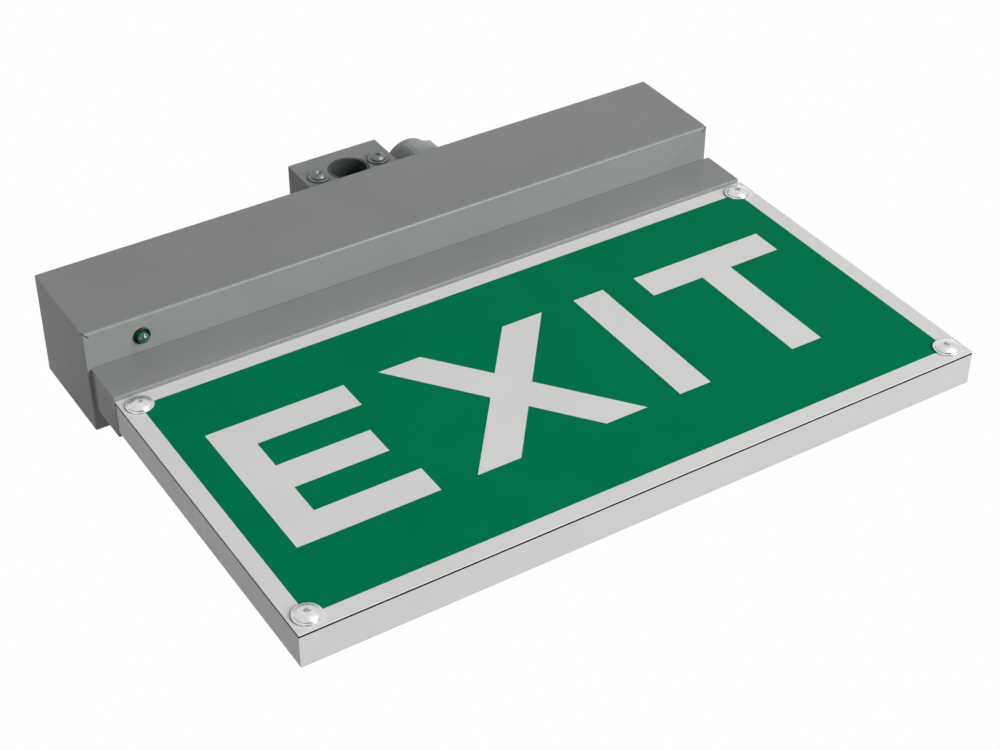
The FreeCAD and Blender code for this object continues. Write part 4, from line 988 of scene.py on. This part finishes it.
class EXITLIGHT_OT_gland_cap(bpy.types.Operator):
    """Makes the gland's cap nut with its round end and grip ribs"""

    bl_idname = "exit_light.gland_cap"
    bl_label = "Gland cap"

    def execute(self, context):
        sizes = context.scene.exit_light_sizes
        low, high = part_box("gland_cap_nut")
        middle = (low + high) / 2
        centre = Vector((middle.x, middle.y, 0))
        shoulder = high.z - sizes.cap_hexagon_drop
        start = centre + UP * low.z
        cap = round_bar("gland_cap", sizes.cap_flats / math.sqrt(3), start, UP, shoulder - low.z, 6)
        turn = Matrix.Translation(centre) @ Matrix.Rotation(math.radians(CAP_TURN - 30), 4, "Z")
        cap.data.transform(turn @ Matrix.Translation(-centre))
        self.grips(cap, sizes, centre, low.z, shoulder)
        top = high.z + sizes.cap_rise
        root = shoulder - CAP_OVERLAP
        outline = [(0, root), (sizes.cap_radius, root)]
        outline += arc((sizes.cap_radius - CAP_ROUNDING, top - CAP_ROUNDING), CAP_ROUNDING, 0, 90, 8)
        outline.append((0, top))
        combined(cap, turned("cap_end", outline, centre, UP), "UNION")
        wide = sizes.cap_mouth + CAP_LIP
        bore = [(0, low.z - PAST), (sizes.cap_bore, low.z - PAST), (sizes.cap_bore, shoulder)]
        bore += [(sizes.cap_mouth, shoulder), (sizes.cap_mouth, top - CAP_LIP)]
        bore += [(wide, top), (wide, top + PAST), (0, top + PAST)]
        combined(cap, turned("cap_bore", bore, centre, UP), "DIFFERENCE")
        tidied(cap)
        sharp = math.radians(40)
        applied(cap, "BEVEL", width=CAP_EASE, segments=2, limit_method="ANGLE", angle_limit=sharp)
        ribs = grip_ribs(sizes, centre, low.z + RIB_FOOT, shoulder - RIB_TOP)
        cap = joined([tidied(cap), ribs])
        finish_piece(smoothed(cap, 22), "grey_nylon", "gland_cap_nut")
        return {"FINISHED"}

    def grips(self, cap, sizes, centre, bottom, top):
        """Rounds every second corner of the hexagon, where the ribs stand."""
        for sector in range(RIB_SECTORS):
            middle = math.radians(CAP_TURN - 60 - 360 / RIB_SECTORS * sector)
            outward = Vector((math.cos(middle), math.sin(middle), 0))
            start = centre + UP * (bottom - PAST)
            ring = turned("ring", self.ring_outline(sizes, top - bottom + 2 * PAST), start, UP)
            beyond = centre + outward * sizes.cap_flats * 1.5 + UP * (bottom + top) / 2
            half = Vector((1, 1, 1)) * sizes.cap_flats
            keep = block("keep", -half, half)
            keep.data.transform(Matrix.Translation(beyond) @ Matrix.Rotation(middle, 4, "Z"))
            combined(cap, combined(ring, keep, "INTERSECT"), "DIFFERENCE")

    def ring_outline(self, sizes, height):
        """Half outline of the waste round a ribbed sector."""
        outer = sizes.cap_flats
        inner = sizes.grip_radius
        return [(inner, 0), (outer, 0), (outer, height), (inner, height), (inner, 0)]


# Small forms of the indicator lamp: ring, leads and lens. Breadth and flange are shares.
BEZEL_LIP = 0.4 * MM
BEZEL_RIM = 0.9 * MM
BEZEL_PLAY = 0.1 * MM
LEAD_SIDE = 0.5 * MM
LEAD_OFFSET = 1.27 * MM
LEAD_HEIGHT = 2.4 * MM
CUP_WIDTH = 1.5 * MM
POST_WIDTH = 0.9 * MM
HEAD_HEIGHT = 0.6 * MM
HEAD_BREADTH = 1.6
NECK = 0.35 * MM
MOUTH = 0.6 * MM
MOUTH_DEPTH = 0.12 * MM
FLANGE = 1.04


class EXITLIGHT_OT_indicator(bpy.types.Operator):
    """Makes the indicator lamp: lens, lead frame and bezel"""

    bl_idname = "exit_light.indicator"
    bl_label = "Indicator lamp"

    def execute(self, context):
        sizes = context.scene.exit_light_sizes
        low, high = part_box("indicator_bezel")
        face = Vector(((low.x + high.x) / 2, (low.y + high.y) / 2, low.z))
        barrel = high.z - low.z
        self.bezel(sizes, face, barrel)
        self.lens(sizes, face, barrel)
        self.leads(face)
        return {"FINISHED"}

    def bezel(self, sizes, face, barrel):
        """Black ring with a rounded lip, a conical mouth and a barrel."""
        radius = sizes.bezel_radius
        bore = sizes.lens_radius + BEZEL_PLAY
        neck = radius - NECK
        outline = [(bore, barrel), (bore, BEZEL_RIM), (radius - MOUTH, MOUTH_DEPTH)]
        outline += arc((radius - BEZEL_LIP, BEZEL_LIP), BEZEL_LIP, -90, 0, 5)
        outline += [(radius, BEZEL_RIM), (neck, BEZEL_RIM), (neck, barrel)]
        outline.append(outline[0])
        bezel = smoothed(turned("indicator_ring", outline, face, UP), 35)
        finish_piece(bezel, "black_nylon", "indicator_bezel")

    def lens(self, sizes, face, barrel):
        """Domed lens with its flange inside the bezel."""
        radius = sizes.lens_radius
        flange = radius * FLANGE
        end = barrel + MM
        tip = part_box("housing_cover")[0].z - sizes.lens_drop - face.z
        outline = [(0, tip)] + arc((0, tip + radius), radius, -90, 0, 12)[1:]
        outline += [(radius, barrel), (flange, barrel), (flange, end), (0, end)]
        lens = smoothed(turned("indicator_lens", outline, face, UP), 35)
        finish_piece(lens, "green_lamp_epoxy", "indicator_led")

    def leads(self, face):
        """Two leads, with the cup and the post that show through the lens."""
        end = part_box("indicator_led")[1].z
        leads = []
        for side, head in ((-1, CUP_WIDTH), (1, POST_WIDTH)):
            start = face + Vector((side * LEAD_OFFSET, 0, LEAD_HEIGHT))
            lead = round_bar("lead", LEAD_SIDE / math.sqrt(2), start, UP, end - start.z, 4)
            with editing(lead):
                pick(lead, "FACE", lambda face: face.normal.z < -0.9)
                pushed(-side * 0.3 * MM, 0, -0.2 * MM)
                share = (head / LEAD_SIDE, HEAD_BREADTH, 1)
                bpy.ops.transform.resize(value=share, center_override=start)
                pushed(0, 0, -HEAD_HEIGHT)
            leads.append(lead)
        pair = joined(leads)
        pair.name = "indicator_leads"
        pair.data.name = "indicator_leads"
        finish_piece(pair, "zinc_plated_steel", "indicator_led")


class EXITLIGHT_OT_finishes(bpy.types.Operator):
    """Gives every piece of the frame its finish"""

    bl_idname = "exit_light.finishes"
    bl_label = "Finishes"

    def execute(self, context):
        for subpart in frame["record"]["subparts"]:
            node = frame["nodes"][subpart["node"]]
            material = finish(subpart["material_slot"])
            if not node.material_slots:
                node.data.materials.append(material)
            for slot in node.material_slots:
                slot.material = material
        return {"FINISHED"}


# Each lamp's direction from the object, distance and width in metres, and power.
LAMPS = {
    "key_lamp": ((0.42, -0.44, -0.79), 3.2, 1.44, "key_power"),
    "edge_lamp": ((0.42, -0.85, -0.32), 3.2, 0.64, "rim_power"),
    "side_lamp": ((-0.92, -0.10, -0.38), 1.5, 0.9, "side_power"),
    "fill_lamp": ((0.60, 0.50, 0.62), 1.6, 1.4, "fill_power"),
}


class EXITLIGHT_OT_stage(bpy.types.Operator):
    """Sets the floor, the surroundings, the lamps and the camera"""

    bl_idname = "exit_light.stage"
    bl_label = "Stage"

    def execute(self, context):
        stage = context.scene.exit_light_stage
        self.floor(stage)
        self.surroundings(context, stage)
        for name, (direction, distance, width, watts) in LAMPS.items():
            self.lamp(name, direction, distance, width, getattr(stage, watts))
        bpy.ops.object.camera_add(location=stage.camera_place, rotation=stage.camera_turn)
        camera = bpy.context.active_object
        camera.data.lens = stage.focal_length
        context.scene.camera = camera
        context.scene.view_settings.view_transform = "Standard"
        return {"FINISHED"}

    def lamp(self, name, direction, distance, width, watts):
        """A soft square lamp that shines at the object from a direction and stays out of sight."""
        deselect_all()
        direction = Vector(direction).normalized()
        low, high = [Vector(corner) for corner in frame_box]
        place = (low + high) / 2 + direction * distance
        turn = direction.to_track_quat("Z", "Y").to_euler()
        bpy.ops.object.light_add(type="AREA", location=place, rotation=turn)
        lamp = bpy.context.active_object
        lamp.name = name
        lamp.data.size = width
        lamp.data.energy = watts
        lamp.visible_camera = False

    def floor(self, stage):
        """Pale floor with a faint unevenness."""
        deselect_all()
        bpy.ops.mesh.primitive_plane_add(size=8, location=(0, 0, -stage.floor_drop))
        floor = set_down("floor")
        tint = (300, "#f0f0ef", "#f6f6f5")
        material = surfaced("pale_floor", tint, (100, 0.6, 0.7), specular_ior_level=0.2)
        floor.data.materials.append(material)

    def surroundings(self, context, stage):
        """White to the eye and in reflections, and an even grey light on surfaces."""
        world = bpy.data.worlds.new("surroundings")
        context.scene.world = world
        world.use_nodes = True
        tree = world.node_tree
        tree.nodes.clear()
        rays = add(tree, "ShaderNodeLightPath").outputs
        maths = ("ShaderNodeMath", {"operation": "ADD", "use_clamp": True})
        first = {"Value": rays["Is Camera Ray"], "Value_001": rays["Is Glossy Ray"]}
        second = {"Value": add(tree, *maths, first, "Value"), "Value_001": rays["Is Transmission Ray"]}
        lights = {"Fac": add(tree, *maths, second, "Value")}
        for socket, strength in (("Shader", stage.sky), ("Shader_001", 1.0)):
            light = {"Color": (1, 1, 1, 1), "Strength": strength}
            lights[socket] = add(tree, "ShaderNodeBackground", inputs=light, output="Background")
        mixed = add(tree, "ShaderNodeMixShader", inputs=lights, output="Shader")
        add(tree, "ShaderNodeOutputWorld", inputs={"Surface": mixed})


OPERATORS = (
    EXITLIGHT_OT_finishes,
    EXITLIGHT_OT_cover,
    EXITLIGHT_OT_holder,
    EXITLIGHT_OT_green_field,
    EXITLIGHT_OT_letters,
    EXITLIGHT_OT_sign_screws,
    EXITLIGHT_OT_block_screws,
    EXITLIGHT_OT_gland_cap,
    EXITLIGHT_OT_indicator,
    EXITLIGHT_OT_stage,
)


class EXITLIGHT_PT_panel(bpy.types.Panel):
    """Lists the sizes, the colours and the steps"""

    bl_label = "Exit light"
    bl_idname = "EXITLIGHT_PT_panel"
    bl_space_type = "VIEW_3D"
    bl_region_type = "UI"
    bl_category = "Exit light"

    def draw(self, context):
        layout = self.layout
        for group in (
            context.scene.exit_light_sizes,
            context.scene.exit_light_colours,
            context.scene.exit_light_stage,
        ):
            column = layout.column()
            for name in group.__annotations__:
                column.prop(group, name)
        for operator in OPERATORS:
            layout.operator(operator.bl_idname)


CLASSES = (ExitLightSizes, ExitLightColours, ExitLightStage, *OPERATORS, EXITLIGHT_PT_panel)


def register():
    """Registers the classes and hangs the property groups on the scene."""
    for each in CLASSES:
        bpy.utils.register_class(each)
    bpy.types.Scene.exit_light_sizes = PointerProperty(type=ExitLightSizes)
    bpy.types.Scene.exit_light_colours = PointerProperty(type=ExitLightColours)
    bpy.types.Scene.exit_light_stage = PointerProperty(type=ExitLightStage)


def unregister():
    """Takes the property groups and the classes away again."""
    del bpy.types.Scene.exit_light_stage
    del bpy.types.Scene.exit_light_colours
    del bpy.types.Scene.exit_light_sizes
    for each in reversed(CLASSES):
        bpy.utils.unregister_class(each)


def main():
    """Makes every piece in order."""
    register()
    bpy.ops.exit_light.finishes()
    bpy.ops.exit_light.cover()
    bpy.ops.exit_light.holder()
    bpy.ops.exit_light.green_field()
    bpy.ops.exit_light.letters()
    bpy.ops.exit_light.sign_screws()
    bpy.ops.exit_light.block_screws()
    bpy.ops.exit_light.gland_cap()
    bpy.ops.exit_light.indicator()
    bpy.ops.exit_light.stage()


if __name__ == "__main__":
    main()
